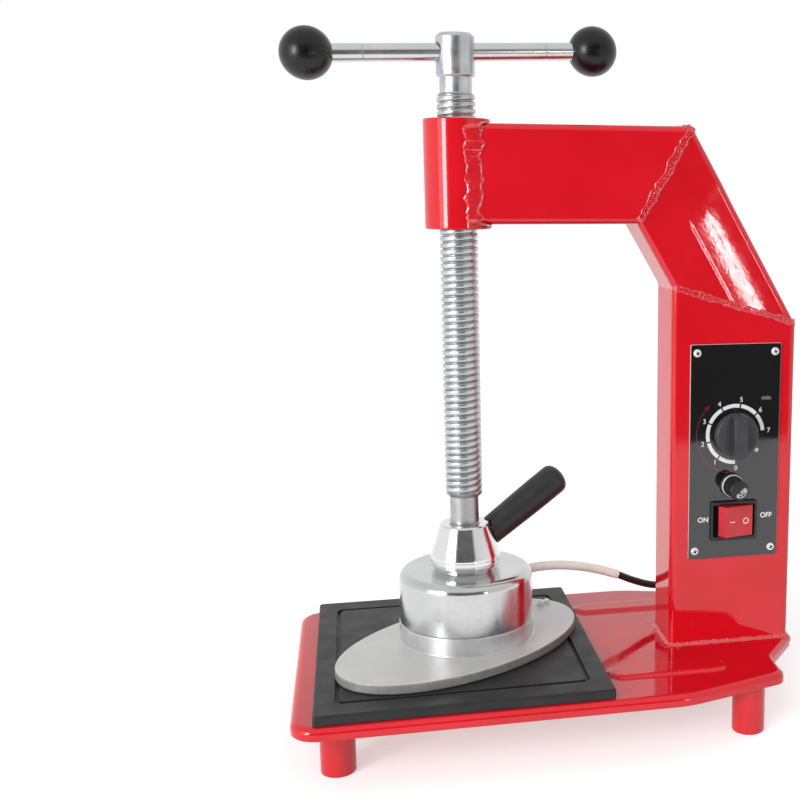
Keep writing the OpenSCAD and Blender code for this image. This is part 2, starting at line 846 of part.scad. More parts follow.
module mains_gland() {
    color(black_plastic) at_back(mains_gland_x, mains_gland_z)
        gland(mains_gland_d, mains_gland_l, mains_thread_d, mains_bore_d);
}

module lead_black() {
    color(black_plastic) translate([screw_x, 0, 0]) swept_tube(lead_route, lead_d, lead_sides);
}

module lead_sleeve() {
    color("#efeadb") translate([screw_x, 0, 0]) swept_tube(sleeve_route, sleeve_d, lead_sides);
}

// Spindle and tommy bar

module spindle_screw() {
    r = thread_d / 2;
    root = r - thread_deep;
    groove = [for (i = [0 : thread_turns - 1])
        let (z0 = thread_z0 + i * pitch, z1 = z0 + thread_flat, z2 = z1 + thread_rise)
        each [[root, z0], [root, z1], [r, z2], [r, z2 + thread_flat]]];
    shank_r = shank_d / 2;
    head_r = head_d / 2;
    profile = concat(
        [[0, shank_z], [shank_r, shank_z],
         [shank_r, grub_z - grub_groove_h / 2], [shank_r - grub_groove_deep, grub_z - grub_groove_h / 2],
         [shank_r - grub_groove_deep, grub_z + grub_groove_h / 2], [shank_r, grub_z + grub_groove_h / 2],
         [shank_r, thread_z0]],
        groove,
        [[neck_d / 2, thread_z1], [neck_d / 2, neck_z], [head_r, neck_z],
         [head_r, head_top_z - head_chamfer], [head_r - head_chamfer, head_top_z], [0, head_top_z]]
    );
    color(zinc) difference() {
        at_screw(0) rotate_extrude() polygon(profile);
        at_screw(bar_z) rotate([0, 90, bar_turn]) cylinder(d = bar_hole_d, h = far, center = true);
        at_screw(shank_z - over)
            cylinder(d = thrust_d + 2 * pass_gap, h = thrust_sink + 2 * pass_gap + over);
    }
}

module thrust_ball() {
    color(zinc) at_screw(bore_z + pass_gap + thrust_d / 2) sphere(d = thrust_d);
}

// Points along the bar, from the screw axis outwards
module along_bar() {
    at_screw(bar_z) rotate([0, 0, bar_turn]) rotate([0, 90 - bar_rise, 0]) children();
}

module tommy_bar() {
    half = bar_reach - ball_d / 2 + ball_seat;
    color(polished) along_bar() difference() {
        cylinder(d = bar_d, h = 2 * half, center = true);
        for (z = [-1, 1]) translate([0, 0, z * bar_groove_x]) difference() {
            cylinder(d = bar_d + over, h = bar_groove_w, center = true);
            cylinder(d = bar_d - bar_groove_w, h = 2 * bar_groove_w, center = true);
        }
    }
}

module ball_knob(end) {
    r = ball_d / 2;
    color(black_plastic) along_bar() mirror([0, 0, end > 0 ? 0 : 1]) translate([0, 0, bar_reach])
        difference() {
            sphere(r);
            translate([0, 0, ball_face - r - far]) cylinder(r = r, h = far);
            translate([0, 0, -far]) cylinder(d = bar_d + 2 * nest_gap, h = far + ball_seat - r + nest_gap);
        }
}

module ball_knob_left() {
    ball_knob(-1);
}

module ball_knob_right() {
    ball_knob(1);
}

// Heating head

module on_plate() {
    at_screw(plate_z) rotate(plate_turn) translate([plate_shift_l, plate_shift_w, 0]) children();
}

module clamp_places(z) {
    for (i = [0 : clamp_count - 1])
        at_screw(z) rotate(clamp_turn + i * 360 / clamp_count) translate([clamp_ring, 0, 0]) children();
}

module heating_plate() {
    color(cast_grey) difference() {
        union() {
            on_plate() linear_extrude(plate_h)
                polygon([for (a = [0 : 4 : 356]) [plate_a * cos(a), plate_b * sin(a)]]);
            at_screw(plate_z) cylinder(d = boss_d, h = plate_h + boss_h);
            at_screw(plate_z) cylinder(d = spigot_d, h = cavity_z - plate_z);
        }
        clamp_places(cavity_z - clamp_deep) cylinder(d = clamp_d + 2 * nest_gap, h = clamp_deep + over);
    }
}

module plate_studs() {
    color(zinc) on_plate() for (inset = plate_stud_insets)
        translate([plate_a - inset, plate_stud_y, plate_h])
            cylinder(d1 = plate_stud_d, d2 = plate_stud_top_d, h = plate_stud_h);
}

module heater_drum() {
    r = drum_d / 2;
    arc = [for (a = [0 : 10 : 90])
        [r - drum_fillet, drum_h - drum_fillet] + drum_fillet * [cos(a), sin(a)]];
    profile = concat([[cavity_d / 2, 0], [r, 0]], arc,
        [[0, drum_h], [0, drum_h - drum_roof], [cavity_d / 2, drum_h - drum_roof]]);
    color(polished) difference() {
        at_screw(drum_z) rotate_extrude() polygon(profile);
        at_screw(roof_z - over) cylinder(d = stud_d + 2 * nest_gap, h = drum_roof + 2 * over);
        at_screw(head_gland_z) rotate([0, 90, head_gland_turn])
            cylinder(d = head_gland_d + 2 * nest_gap, h = far);
    }
}

module stack_disc(z, t) {
    difference() {
        at_screw(z) drilled_rod(stack_d, stack_hole_d, t);
        clamp_places(z - over) cylinder(d = clamp_d + 2 * nest_gap, h = t + 2 * over);
    }
}

module heating_element() {
    color("#7a5a46") stack_disc(element_z, element_t);
}

module mica_discs() {
    color("#c9bd96") for (z = [cavity_z, element_z + element_t])
        stack_disc(z, mica_t);
}

module pressure_plate() {
    color(zinc) stack_disc(pressure_z, pressure_t);
}

module clamp_screws() {
    grip_deep = clamp_deep - clamp_short;
    color(zinc) {
        clamp_places(cavity_z - grip_deep) cylinder(d = clamp_d, h = stack_top - cavity_z + grip_deep);
        clamp_places(stack_top) cylinder(d = clamp_head_d, h = clamp_head_h);
    }
}

module thermostat() {
    color("#d8d4c8") at_screw(stack_top) rotate(thermostat_turn) translate([thermostat_r, 0, 0])
        cylinder(d = thermostat_d, h = thermostat_h);
}

// Outside of the cone socket from its foot to its top edge, grown by a gap
function cone_side(grow) = [
    [cone_foot_d / 2 + grow, -grow], [cone_base_d / 2 + grow, cone_foot_h],
    [cone_base_d / 2 + grow, cone_foot_h + cone_band_h], [cone_top_d / 2 + grow, cone_h - cone_chamfer],
    [cone_top_d / 2 - cone_chamfer + grow, cone_h + grow]
];

module grub_places() {
    for (turn = grub_turns)
        at_screw(grub_z) rotate([0, 90, turn]) children();
}

// Points along the grip from the screw axis
module along_grip() {
    at_screw(cone_z + grip_up) rotate([0, 90 - grip_rise, grip_turn]) children();
}

// Radius of the cone at the retaining screws
flank_h = cone_h - cone_foot_h - cone_band_h;
grub_r = cone_top_d / 2 + (cone_top_z - grub_z) / flank_h * (cone_base_d - cone_top_d) / 2;
grip_from = bore_d / 2 / cos(grip_rise) + grip_wall;

module cone_socket() {
    stud_r = stud_d / 2 + nest_gap;
    inside = [
        [bore_d / 2, cone_h], [bore_d / 2, cone_floor], [0, cone_floor],
        [0, stud_up + nest_gap], [stud_r, stud_up + nest_gap], [stud_r, 0]
    ];
    color(polished) difference() {
        at_screw(cone_z) rotate_extrude() polygon(concat(cone_side(0), inside));
        grub_places() translate([0, 0, bore_d / 2 - over])
            cylinder(d = grub_d + 2 * nest_gap, h = cone_base_d);
        along_grip() translate([0, 0, grip_from - nest_gap])
            cylinder(d = grip_stud_d + 2 * nest_gap, h = cone_base_d);
    }
}

module socket_stud() {
    low = roof_z - nut_h - nut_tail;
    color(zinc) at_screw(low) cylinder(d = stud_d, h = cone_z + stud_up - low);
}

module socket_nut() {
    color(zinc) at_screw(roof_z - nut_h) difference() {
        cylinder(d = nut_w / cos(30), h = nut_h, $fn = 6);
        translate([0, 0, -over]) cylinder(d = stud_d + 2 * nest_gap, h = nut_h + 2 * over);
    }
}

module retaining_screws() {
    tip = shank_d / 2 - grub_groove_deep + grub_gap;
    shoulder = bore_d / 2 + grub_gap;
    back = grub_r - grub_sink;
    color(rubber_black) grub_places() {
        translate([0, 0, tip]) cylinder(d = grub_tip_d, h = back - tip);
        translate([0, 0, shoulder]) cylinder(d = grub_d, h = back - shoulder);
    }
}

module handle_stud() {
    color(zinc) along_grip() translate([0, 0, grip_from]) cylinder(d = grip_stud_d, h = grip_stud_l);
}

module handle_grip() {
    low_r = grip_low_d / 2;
    high_r = grip_high_d / 2;
    tip = grip_from + grip_l;
    end_arc = [for (a = [0 : 15 : 90]) [high_r * cos(a), tip - grip_dome + grip_dome * sin(a)]];
    color(black_plastic) difference() {
        along_grip() rotate_extrude()
            polygon(concat([[0, grip_from], [low_r, grip_from], [high_r, tip - grip_swell]], end_arc));
        along_grip() translate([0, 0, grip_from - over])
            cylinder(d = grip_stud_d + 2 * nest_gap, h = grip_stud_l + over + nest_gap);
        at_screw(cone_z) rotate_extrude()
            polygon(concat([[0, -grip_gap]], cone_side(grip_gap), [[0, cone_h + grip_gap]]));
    }
}

module head_gland() {
    wall_r = drum_d / 2 + pass_gap;
    tail_r = drum_d / 2 - drum_wall - head_gland_tail;
    color("#e3dfd2") at_screw(head_gland_z) rotate([0, 90, head_gland_turn]) difference() {
        union() {
            translate([0, 0, tail_r]) cylinder(d = head_gland_d, h = wall_r + head_gland_out - tail_r);
            translate([0, 0, wall_r]) cylinder(d = head_gland_flange_d, h = head_gland_out);
        }
        cylinder(d = sleeve_d - 2 * sleeve_grip, h = far);
    }
}

base_plate();
base_feet();
post_tube();
brace_tube();
arm_tube();
screw_bush();
press_pad();
control_panel();
panel_screws();
timer_body();
timer_nut();
rocker_frame();
rocker_terminals();
fuse_holder();
fuse_ring();
fuse_nut();
terminal_block();
lead_gland();
mains_gland();
lead_black();
thrust_ball();
lead_sleeve();
spindle_screw();
tommy_bar();
ball_knob_left();
ball_knob_right();
heating_plate();
plate_studs();
heater_drum();
heating_element();
mica_discs();
pressure_plate();
clamp_screws();
thermostat();
cone_socket();
socket_stud();
socket_nut();
retaining_screws();
handle_stud();
handle_grip();
head_gland();
timer_shaft();
timer_knob();
rocker_button();
fuse_glass();
fuse_ends();
fuse_cap();
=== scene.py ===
import math
import random

import bmesh
import bpy
from mathutils import Matrix, Vector, noise


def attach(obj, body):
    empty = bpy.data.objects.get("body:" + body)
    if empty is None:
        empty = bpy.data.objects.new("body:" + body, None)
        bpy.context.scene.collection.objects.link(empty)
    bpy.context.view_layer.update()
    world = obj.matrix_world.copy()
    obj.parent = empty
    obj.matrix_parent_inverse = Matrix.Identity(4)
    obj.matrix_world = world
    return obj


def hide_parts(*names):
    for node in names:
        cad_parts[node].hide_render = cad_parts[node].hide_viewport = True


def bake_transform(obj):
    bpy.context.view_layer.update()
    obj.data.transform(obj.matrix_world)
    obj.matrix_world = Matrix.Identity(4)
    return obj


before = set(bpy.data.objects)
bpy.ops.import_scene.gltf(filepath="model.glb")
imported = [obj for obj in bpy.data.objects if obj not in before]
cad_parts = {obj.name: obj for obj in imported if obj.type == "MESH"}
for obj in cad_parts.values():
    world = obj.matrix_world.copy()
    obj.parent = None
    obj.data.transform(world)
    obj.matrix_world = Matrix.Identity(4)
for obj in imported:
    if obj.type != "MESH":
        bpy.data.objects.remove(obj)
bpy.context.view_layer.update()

mm = 0.001
fullTurn = 2 * math.pi
screwX = -65.5  # the screw's axis; sizes and places are in the part's own millimetres
postFace = 25  # from the post's middle to its front and back
inkThick = 0.04
print("frame loaded:", len(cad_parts), "nodes")


# Places
def shift(x, y, z):
    return Matrix.Translation((x, y, z))


def turn(degrees, axis):
    return Matrix.Rotation(math.radians(degrees), 4, axis)


def fromScrew(height, around, down):  # local Z leaves the screw's axis sideways
    return shift(screwX, 0, height) @ turn(around, "Z") @ turn(down, "Y")


def atPanel(x, y, z):  # local Z points out of the panel, towards the operator
    return shift(x, y, z) @ turn(90, "X")


def onPanel(x, z):
    return atPanel(x, -postFace - panel["thick"], z)


def atBack(x, z):  # local Z points out of the post's back
    return shift(x, postFace, z) @ turn(-90, "X")


atScrew = shift(screwX, 0, 0)


# Outlines
def evenly(start, end, count):
    return [start + (end - start) * k / count for k in range(count + 1)]


def ease(t):
    return t * t * (3 - 2 * t)


def ovalLine(a, b, count, x=0.0, y=0.0):
    angles = [fullTurn * k / count for k in range(count)]
    return [(x + a * math.cos(t), y + b * math.sin(t)) for t in angles]


def clockSpot(radius, degrees, centre=(0, 0)):  # clockwise from the top, as on a dial
    a = math.radians(degrees)
    return centre[0] + radius * math.sin(a), centre[1] + radius * math.cos(a)


def clockBand(first, second, start, end, count, centre=(0, 0)):
    turns = evenly(start, end, count)
    band = [clockSpot(first, degrees, centre) for degrees in turns]
    return band + [clockSpot(second, degrees, centre) for degrees in turns[::-1]]


def slotLine(start, end, radius, steps=23):
    line = []
    for x, first in ((end, -math.pi / 2), (start, math.pi / 2)):
        angles = evenly(first, first + math.pi, steps)
        line += [(x + radius * math.cos(a), radius * math.sin(a)) for a in angles]
    return line


arcStep = math.radians(13)


# The arc that rounds one corner (x, y, radius), and the directions of the sides that meet there
def cornerArc(corners, i, steps=None):
    here, radius = Vector(corners[i][:2]), corners[i][2]
    towards = (Vector(corners[i - 1][:2]) - here).normalized()
    away = (Vector(corners[(i + 1) % len(corners)][:2]) - here).normalized()
    half = towards.angle(away) / 2
    reach = radius / math.tan(half)
    centre = here + (towards + away).normalized() * radius / math.sin(half)
    first = here + towards * reach - centre
    last = here + away * reach - centre
    start = math.atan2(first.y, first.x)
    sweep = (math.atan2(last.y, last.x) - start + 3 * math.pi) % fullTurn - math.pi
    steps = steps or max(3, round(abs(sweep) / arcStep))
    angles = evenly(start, start + sweep, steps)
    return [centre + Vector((math.cos(a), math.sin(a))) * radius for a in angles], towards, away


# A rounded corner becomes an arc with a support point on either side
def roundedLine(corners, closed=False):
    line = []
    for i, corner in enumerate(corners):
        if corner[2] <= 0 or (not closed and i in (0, len(corners) - 1)):
            line.append(Vector(corner[:2]))
            continue
        arc, towards, away = cornerArc(corners, i)
        support = min(corner[2] * 0.4, 0.5)
        line += [arc[0] + towards * support, *arc, arc[-1] + away * support]
    return [(p.x, p.y) for p in line]


def boxOutline(width, height, radius):
    w, h = width / 2, height / 2
    return roundedLine([(-w, -h, radius), (w, -h, radius), (w, h, radius), (-w, h, radius)], closed=True)


def insetLine(outline, depth):
    moved = []
    for i, point in enumerate(outline):
        before, here = Vector(outline[i - 1]), Vector(point)
        after = Vector(outline[(i + 1) % len(outline)])
        one = (here - before).normalized().orthogonal()
        two = (after - here).normalized().orthogonal()
        moved.append(tuple(here + (one + two) * depth / max(0.3, 1 + one.dot(two))))
    return moved


# Meshes
def placed(name, data):
    piece = bpy.data.objects.new(name, data)
    bpy.context.scene.collection.objects.link(piece)
    return piece


def soften(piece, sharp=40.0):
    for face in piece.data.polygons:
        face.use_smooth = True
    piece.data.set_sharp_from_angle(angle=math.radians(sharp))
    return piece


def addPiece(name, points, faces, sharp=40.0):
    mesh = bpy.data.meshes.new(name)
    mesh.from_pydata([Vector(p) * mm for p in points], [], faces)
    work = bmesh.new()
    work.from_mesh(mesh)
    bmesh.ops.remove_doubles(work, verts=work.verts, dist=2e-7)
    bmesh.ops.dissolve_degenerate(work, edges=work.edges, dist=1e-7)
    bmesh.ops.recalc_face_normals(work, faces=work.faces)
    work.to_mesh(mesh)
    work.free()
    return soften(placed(name, mesh), sharp)


def joinPieces(name, pieces):
    work = bmesh.new()
    for piece in pieces:
        work.from_mesh(piece.data)
        bpy.data.objects.remove(piece)
    mesh = bpy.data.meshes.new(name)
    work.to_mesh(mesh)
    work.free()
    return placed(name, mesh)


def copyAt(piece, places):
    work = bmesh.new()
    for place in places:
        start = len(work.verts)
        work.from_mesh(piece.data)
        work.verts.ensure_lookup_table()
        for vert in work.verts[start:]:
            vert.co = (place @ (vert.co / mm)) * mm
    work.to_mesh(piece.data)
    work.free()
    return soften(piece)


def ringAt(outline, z, place):
    return [place @ Vector((x, y, z)) for x, y in outline]


def loft(name, rings, closed=False, sharp=40.0):
    count = len(rings[0])
    points = [p for ring in rings for p in ring]
    faces = []
    for i in range(len(rings) if closed else len(rings) - 1):
        low, high = i * count, (i + 1) % len(rings) * count
        for k in range(count):
            n = (k + 1) % count
            faces.append((low + k, low + n, high + n, high + k))
    if not closed:
        last = (len(rings) - 1) * count
        faces += [tuple(range(count))[::-1], tuple(range(last, last + count))]
    return addPiece(name, points, faces, sharp)


def lathe(name, profile, place, turns=96, closed=False):
    points, faces, rows = [], [], []
    for r, z in profile:
        start = len(points)
        if r < 1e-4:
            points.append(place @ Vector((0, 0, z)))
            rows.append([start])
            continue
        points += ringAt(ovalLine(r, r, turns), z, place)
        rows.append(list(range(start, start + turns)))
    for low, high in zip(rows, rows[1:] + (rows[:1] if closed else [])):
        for k in range(turns):
            n = (k + 1) % turns
            around = [low[k % len(low)], low[n % len(low)], high[n % len(high)], high[k % len(high)]]
            corners = list(dict.fromkeys(around))
            if len(corners) > 2:
                faces.append(corners)
    return addPiece(name, points, faces)


def rod(name, radius, low, high, place, turns):
    return lathe(name, [(0, low), (radius, low), (radius, high), (0, high)], place, turns)


# Straight-sided solid with rounded edges at both ends
def prism(name, outline, low, high, edge, place):
    quarter = evenly(0, math.pi / 2, 4)
    steps = [(edge * 1.5, low)]
    steps += [(edge * (1 - math.sin(a)), low + edge * (1 - math.cos(a))) for a in quarter]
    steps += [(0, low + edge * 1.4), (0, high - edge * 1.4)]
    steps += [(edge * (1 - math.cos(a)), high - edge * (1 - math.sin(a))) for a in quarter]
    steps += [(edge * 1.5, high)]
    return loft(name, [ringAt(insetLine(outline, depth), z, place) for depth, z in steps])


def thinMark(name, outline, low, place, thick=inkThick):
    return loft(name, [ringAt(outline, z, place) for z in (low, low + thick)])


# Skirt or cap dipped between its ribs from low to high
def fluted(name, line, ribs, deep, low, high, place):
    rings = []
    for radius, z in line:
        ring = []
        for x, y in ovalLine(1, 1, ribs * 6):
            dip = deep * (0.5 + 0.5 * math.cos(math.atan2(y, x) * ribs)) ** 2 if low < z < high else 0.0
            ring.append(place @ Vector(((radius - dip) * x, (radius - dip) * y, z)))
        rings.append(ring)
    return loft(name, rings)


def bakedMesh(piece):
    ready = piece.evaluated_get(bpy.context.evaluated_depsgraph_get())
    return bpy.data.meshes.new_from_object(ready)


def carve(piece, cutters, rim=0.0):
    for cutter in cutters:
        cut = piece.modifiers.new("cut", "BOOLEAN")
        cut.operation, cut.solver, cut.object = "DIFFERENCE", "EXACT", cutter
    if rim:
        edge = piece.modifiers.new("rim", "BEVEL")
        edge.width, edge.segments, edge.limit_method = rim * mm, 2, "ANGLE"
        edge.angle_limit = math.radians(50)
    mesh = bakedMesh(piece)
    piece.modifiers.clear()
    piece.data = mesh
    for cutter in cutters:
        bpy.data.objects.remove(cutter)
    return soften(piece)


def word(name, letters, size, place, bold=0.0):
    curve = bpy.data.curves.new(name, "FONT")
    curve.body, curve.size, curve.extrude = letters, size, inkThick / 2
    curve.offset = bold
    curve.align_x, curve.align_y = "CENTER", "CENTER"
    holder = placed(name + "Letters", curve)
    mesh = bakedMesh(holder)
    bpy.data.objects.remove(holder)
    mesh.transform(Matrix.Scale(mm, 4) @ place)
    return placed(name, mesh)


# Finish, body and the solids that a piece stands for
def dress(piece, look, body, slotName, *nodes):
    piece.data.materials.clear()
    piece.data.materials.append(looks[look])
    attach(piece, body)
    if nodes:
        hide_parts(*nodes)


def painted(piece, node, look="redPaint"):
    dress(piece, look, "frame", "red_paint", node)


def secondFinish(piece, look, chosen):
    piece.data.materials.append(looks[look])
    for face in piece.data.polygons:
        face.material_index = 1 if chosen(face) else 0


# Shader nodes: a socket takes another node's output or a plain value
def plugIn(tree, node, sockets):
    for socket, value in sockets.items():
        if isinstance(value, bpy.types.NodeSocket):
            tree.links.new(value, node.inputs[socket])
        else:
            node.inputs[socket].default_value = value


def addNode(tree, kind, sockets, **settings):
    node = tree.nodes.new("ShaderNode" + kind)
    for name, value in settings.items():
        setattr(node, name, value)
    plugIn(tree, node, sockets)
    return node


def sums(tree, kind, first, second=0.0):
    return addNode(tree, "Math", {0: first, 1: second}, operation=kind).outputs["Value"]


def newLook(name):
    look = bpy.data.materials.new(name)
    look.use_nodes = True
    return look, look.node_tree, look.node_tree.nodes["Principled BSDF"]


def surface(name, dark, light, grain, rough, roughGrain, bumps=(), sockets={}):
    look, tree, shader = newLook(name)
    place = addNode(tree, "TexCoord", {}).outputs["Object"]

    def grainAt(scale, detail):
        return addNode(tree, "TexNoise", {"Vector": place, "Scale": scale, "Detail": detail}).outputs["Fac"]

    tones = addNode(tree, "ValToRGB", {"Fac": grainAt(grain, 5)})
    for end, position, tone in zip(tones.color_ramp.elements, (0.32, 0.68), (dark, light)):
        end.position, end.color = position, (*tone, 1)
    patches = addNode(tree, "MapRange", {"Value": grainAt(roughGrain, 4), "From Min": 0.3, "From Max": 0.7,
        "To Min": rough[0], "To Max": rough[1]})
    plugIn(tree, shader, {"Base Color": tones.outputs["Color"], "Roughness": patches.outputs["Result"]})
    plugIn(tree, shader, sockets)
    last = shader
    for scale, depth in bumps[::-1]:
        bump = addNode(tree, "Bump", {"Height": grainAt(scale, 3), "Strength": 1.0, "Distance": depth * mm})
        plugIn(tree, last, {"Normal": bump.outputs["Normal"]})
        last = bump
    return look


# Each finish: dark and light tone, grain of the mottling, roughness, grain of the roughness,
# bumps as (scale, depth) with the lowest first, and the shader's own sockets
metal = {"Metallic": 1.0}
finishes = {
    "redPaint": ((0.60, 0.0030, 0.010), (0.67, 0.0050, 0.015), 14, (0.05, 0.10), 60,
        [(26, 0.13), (380, 0.008)], {"Specular IOR Level": 0.6}),
    "bracePaint": ((0.59, 0.0030, 0.010), (0.66, 0.0050, 0.015), 18, (0.05, 0.11), 90,
        [(30, 0.06), (340, 0.042), (700, 0.011)], {"Specular IOR Level": 0.65}),
    "weldPaint": ((0.54, 0.0030, 0.010), (0.66, 0.0060, 0.017), 220, (0.04, 0.12), 300,
        [(420, 0.34), (1100, 0.09)],
        {"Specular IOR Level": 0.9, "Coat Weight": 0.5, "Coat Roughness": 0.04, "Coat IOR": 1.8}),
    "padRubber": ((0.008, 0.0085, 0.0095), (0.015, 0.0155, 0.017), 35, (0.42, 0.56), 50,
        [(900, 0.03), (60, 0.08)], {"Specular IOR Level": 0.45}),
    "zincPlate": ((0.50, 0.525, 0.54), (0.63, 0.65, 0.66), 90, (0.30, 0.44), 140,
        [(300, 0.04), (1500, 0.012)], metal),
    "threadZinc": ((0.50, 0.525, 0.54), (0.62, 0.645, 0.655), 90, (0.28, 0.40), 160, [(500, 0.03)], metal),
    "shankSteel": ((0.38, 0.395, 0.405), (0.47, 0.485, 0.495), 90, (0.30, 0.42), 140, [(300, 0.03)], metal),
    "brightZinc": ((0.76, 0.765, 0.77), (0.88, 0.885, 0.885), 260, (0.28, 0.42), 300,
        [(900, 0.015)], {"Metallic": 0.25}),
    "chromePlate": ((0.60, 0.61, 0.615), (0.70, 0.705, 0.705), 30, (0.18, 0.26), 45, [(60, 0.004)], metal),
    "polishedMetal": ((0.57, 0.575, 0.58), (0.63, 0.635, 0.635), 25, (0.14, 0.20), 300, [(90, 0.006)], metal),
    "turnedMetal": ((0.72, 0.725, 0.73), (0.79, 0.79, 0.79), 25, (0.10, 0.15), 200, [(70, 0.006)], metal),
    "machinedMetal": ((0.60, 0.605, 0.61), (0.68, 0.68, 0.68), 120, (0.30, 0.40), 160,
        [(900, 0.010)], {"Metallic": 0.9}),
    "castMetal": ((0.60, 0.60, 0.595), (0.66, 0.66, 0.655), 60, (0.42, 0.54), 120,
        [(900, 0.03), (120, 0.03)], {"Metallic": 0.5}),
    # the plate's sides: a sawn edge, and darker than the cast top as painted shade
    "sawnEdgeShade": ((0.30, 0.30, 0.298), (0.37, 0.37, 0.366), 180, (0.40, 0.55), 260,
        [(700, 0.03)], {"Metallic": 0.5}),
    "ballBlack": ((0.003, 0.003, 0.0035), (0.006, 0.006, 0.007), 40, (0.24, 0.33), 120,
        [(110, 0.03), (900, 0.008)], {"Specular IOR Level": 0.40}),
    "gripBlack": ((0.010, 0.010, 0.011), (0.018, 0.018, 0.020), 60, (0.40, 0.54), 160, [(700, 0.03)]),
    "panelBlack": ((0.004, 0.004, 0.0045), (0.006, 0.006, 0.007), 20, (0.03, 0.05), 60,
        [(500, 0.0015)], {"Specular IOR Level": 1.0}),
    "panelEdge": ((0.70, 0.70, 0.70), (0.82, 0.82, 0.82), 300, (0.34, 0.46), 400,
        [(900, 0.015)], {"Metallic": 0.3}),
    "plasticBlack": ((0.010, 0.010, 0.011), (0.018, 0.018, 0.020), 80, (0.30, 0.44), 180, [(1100, 0.015)]),
    "plasticGrey": ((0.029, 0.030, 0.032), (0.043, 0.044, 0.047), 70, (0.34, 0.46), 160, [(1200, 0.02)]),
    # painted shade for the insides of the screw slots and the switch opening
    "recessShade": ((0.0025, 0.0025, 0.0028), (0.005, 0.005, 0.0055), 80, (0.7, 0.85), 180,
        [(900, 0.02)], {"Specular IOR Level": 0.1}),
    "rockerRed": ((0.50, 0.008, 0.016), (0.58, 0.013, 0.024), 60, (0.16, 0.26), 150,
        [(900, 0.008)], {"Specular IOR Level": 0.6}),
    "inkWhite": ((0.72, 0.73, 0.74), (0.82, 0.82, 0.83), 400, (0.06, 0.12), 300,
        [(1500, 0.002)], {"Specular IOR Level": 1.0}),
    "inkGrey": ((0.26, 0.27, 0.28), (0.36, 0.37, 0.38), 400, (0.45, 0.6), 300, [(1500, 0.01)]),
    "inkRed": ((0.17, 0.006, 0.012), (0.23, 0.010, 0.018), 400, (0.06, 0.12), 300,
        [(1500, 0.002)], {"Specular IOR Level": 1.0}),
    "ceramicCream": ((0.66, 0.62, 0.53), (0.76, 0.73, 0.65), 70, (0.35, 0.55), 120, [(600, 0.03)]),
    "micaTan": ((0.42, 0.34, 0.20), (0.58, 0.50, 0.34), 160, (0.30, 0.50), 220, [(500, 0.03)]),
    "elementBrown": ((0.16, 0.09, 0.06), (0.26, 0.16, 0.11), 120, (0.55, 0.75), 160, [(400, 0.05)]),
    "blackOxide": ((0.030, 0.030, 0.032), (0.055, 0.055, 0.058), 200, (0.30, 0.45), 240, [(900, 0.015)],
        metal),
    "brassBare": ((0.60, 0.40, 0.13), (0.74, 0.53, 0.22), 120, (0.22, 0.38), 160, [(900, 0.012)], metal),
    "clearGlass": ((0.90, 0.93, 0.93), (0.95, 0.97, 0.97), 60, (0.02, 0.06), 90,
        [(200, 0.01)], {"Transmission Weight": 1.0, "IOR": 1.5}),
    "leadBlack": ((0.012, 0.012, 0.013), (0.022, 0.022, 0.024), 90, (0.42, 0.58), 150, [(800, 0.03)]),
    "sleeveBraid": ((0.82, 0.85, 0.775), (0.90, 0.935, 0.86), 160, (0.55, 0.75), 240),
}
looks = {name: surface(name, *values) for name, values in finishes.items()}


def treeOf(name):
    tree = looks[name].node_tree
    return tree, tree.nodes["Principled BSDF"]


# Turning marks run round the piece, so reflections draw out along its axis
def drawnOut(name, amount):
    tree, shader = treeOf(name)
    around = addNode(tree, "Tangent", {}, direction_type="RADIAL", axis="Z")
    plugIn(tree, shader, {"Anisotropic": amount, "Anisotropic Rotation": 0.25,
        "Tangent": around.outputs["Tangent"]})


braid = {"pitch": 2.6, "strands": 6, "deep": 0.12, "sheen": 0.25}


# Braided glass-fibre sleeve: two crossing sets of strands, read from the tube's own length and turn
def braidSleeve():
    tree, shader = treeOf("sleeveBraid")
    wrap = addNode(tree, "UVMap", {}, uv_map="along")
    split = addNode(tree, "SeparateXYZ", {"Vector": wrap.outputs["UV"]})
    length = sums(tree, "MULTIPLY", split.outputs["X"], fullTurn / braid["pitch"])
    around = sums(tree, "MULTIPLY", split.outputs["Y"], fullTurn * braid["strands"])
    left = sums(tree, "SINE", sums(tree, "ADD", length, around))
    right = sums(tree, "SINE", sums(tree, "SUBTRACT", length, around))
    strands = sums(tree, "MAXIMUM", left, right)
    bump = addNode(tree, "Bump", {"Height": strands, "Distance": braid["deep"] * mm})
    plugIn(tree, shader, {"Normal": bump.outputs["Normal"], "Sheen Weight": braid["sheen"]})


# Painted shade in the grooves: the radii where it starts and ends, and how dark it gets at the root
grooveShade = {"from": 12.4, "to": 13.8, "darkest": 0.74}


# Painted shade in the thread's grooves: the base colour darkens towards the root, and the tint follows the
# distance from the screw's axis
def greaseThread():
    tree, shader = treeOf("threadZinc")
    place = addNode(tree, "TexCoord", {})
    middle = addNode(tree, "Mapping", {"Vector": place.outputs["Object"], "Location": (-screwX * mm, 0, 0),
        "Scale": (1, 1, 0)})
    away = addNode(tree, "VectorMath", {0: middle.outputs["Vector"]}, operation="LENGTH")
    reach = addNode(tree, "MapRange", {"Value": away.outputs["Value"], "From Min": grooveShade["from"] * mm,
        "From Max": grooveShade["to"] * mm, "To Min": grooveShade["darkest"], "To Max": 1.0})
    # the thread's own colour, darkened towards the root as painted shade
    unshaded = shader.inputs["Base Color"].links[0].from_socket
    tint = addNode(tree, "VectorMath", {0: unshaded, "Scale": reach.outputs["Result"]}, operation="SCALE")
    plugIn(tree, shader, {"Base Color": tint.outputs["Vector"]})


for finishName, amount in (("polishedMetal", 0.7), ("turnedMetal", 0.8), ("machinedMetal", 0.6)):
    drawnOut(finishName, amount)
braidSleeve()
greaseThread()
print("finishes ready")


# Camera
view = {"place": (-143.55, -887.73, 405.69), "yaw": 12.95, "pitch": 10.08, "roll": 0.20, "lens": 53.03,
    "sensor": 36, "shiftX": -0.2797, "near": 0.05, "far": 50}


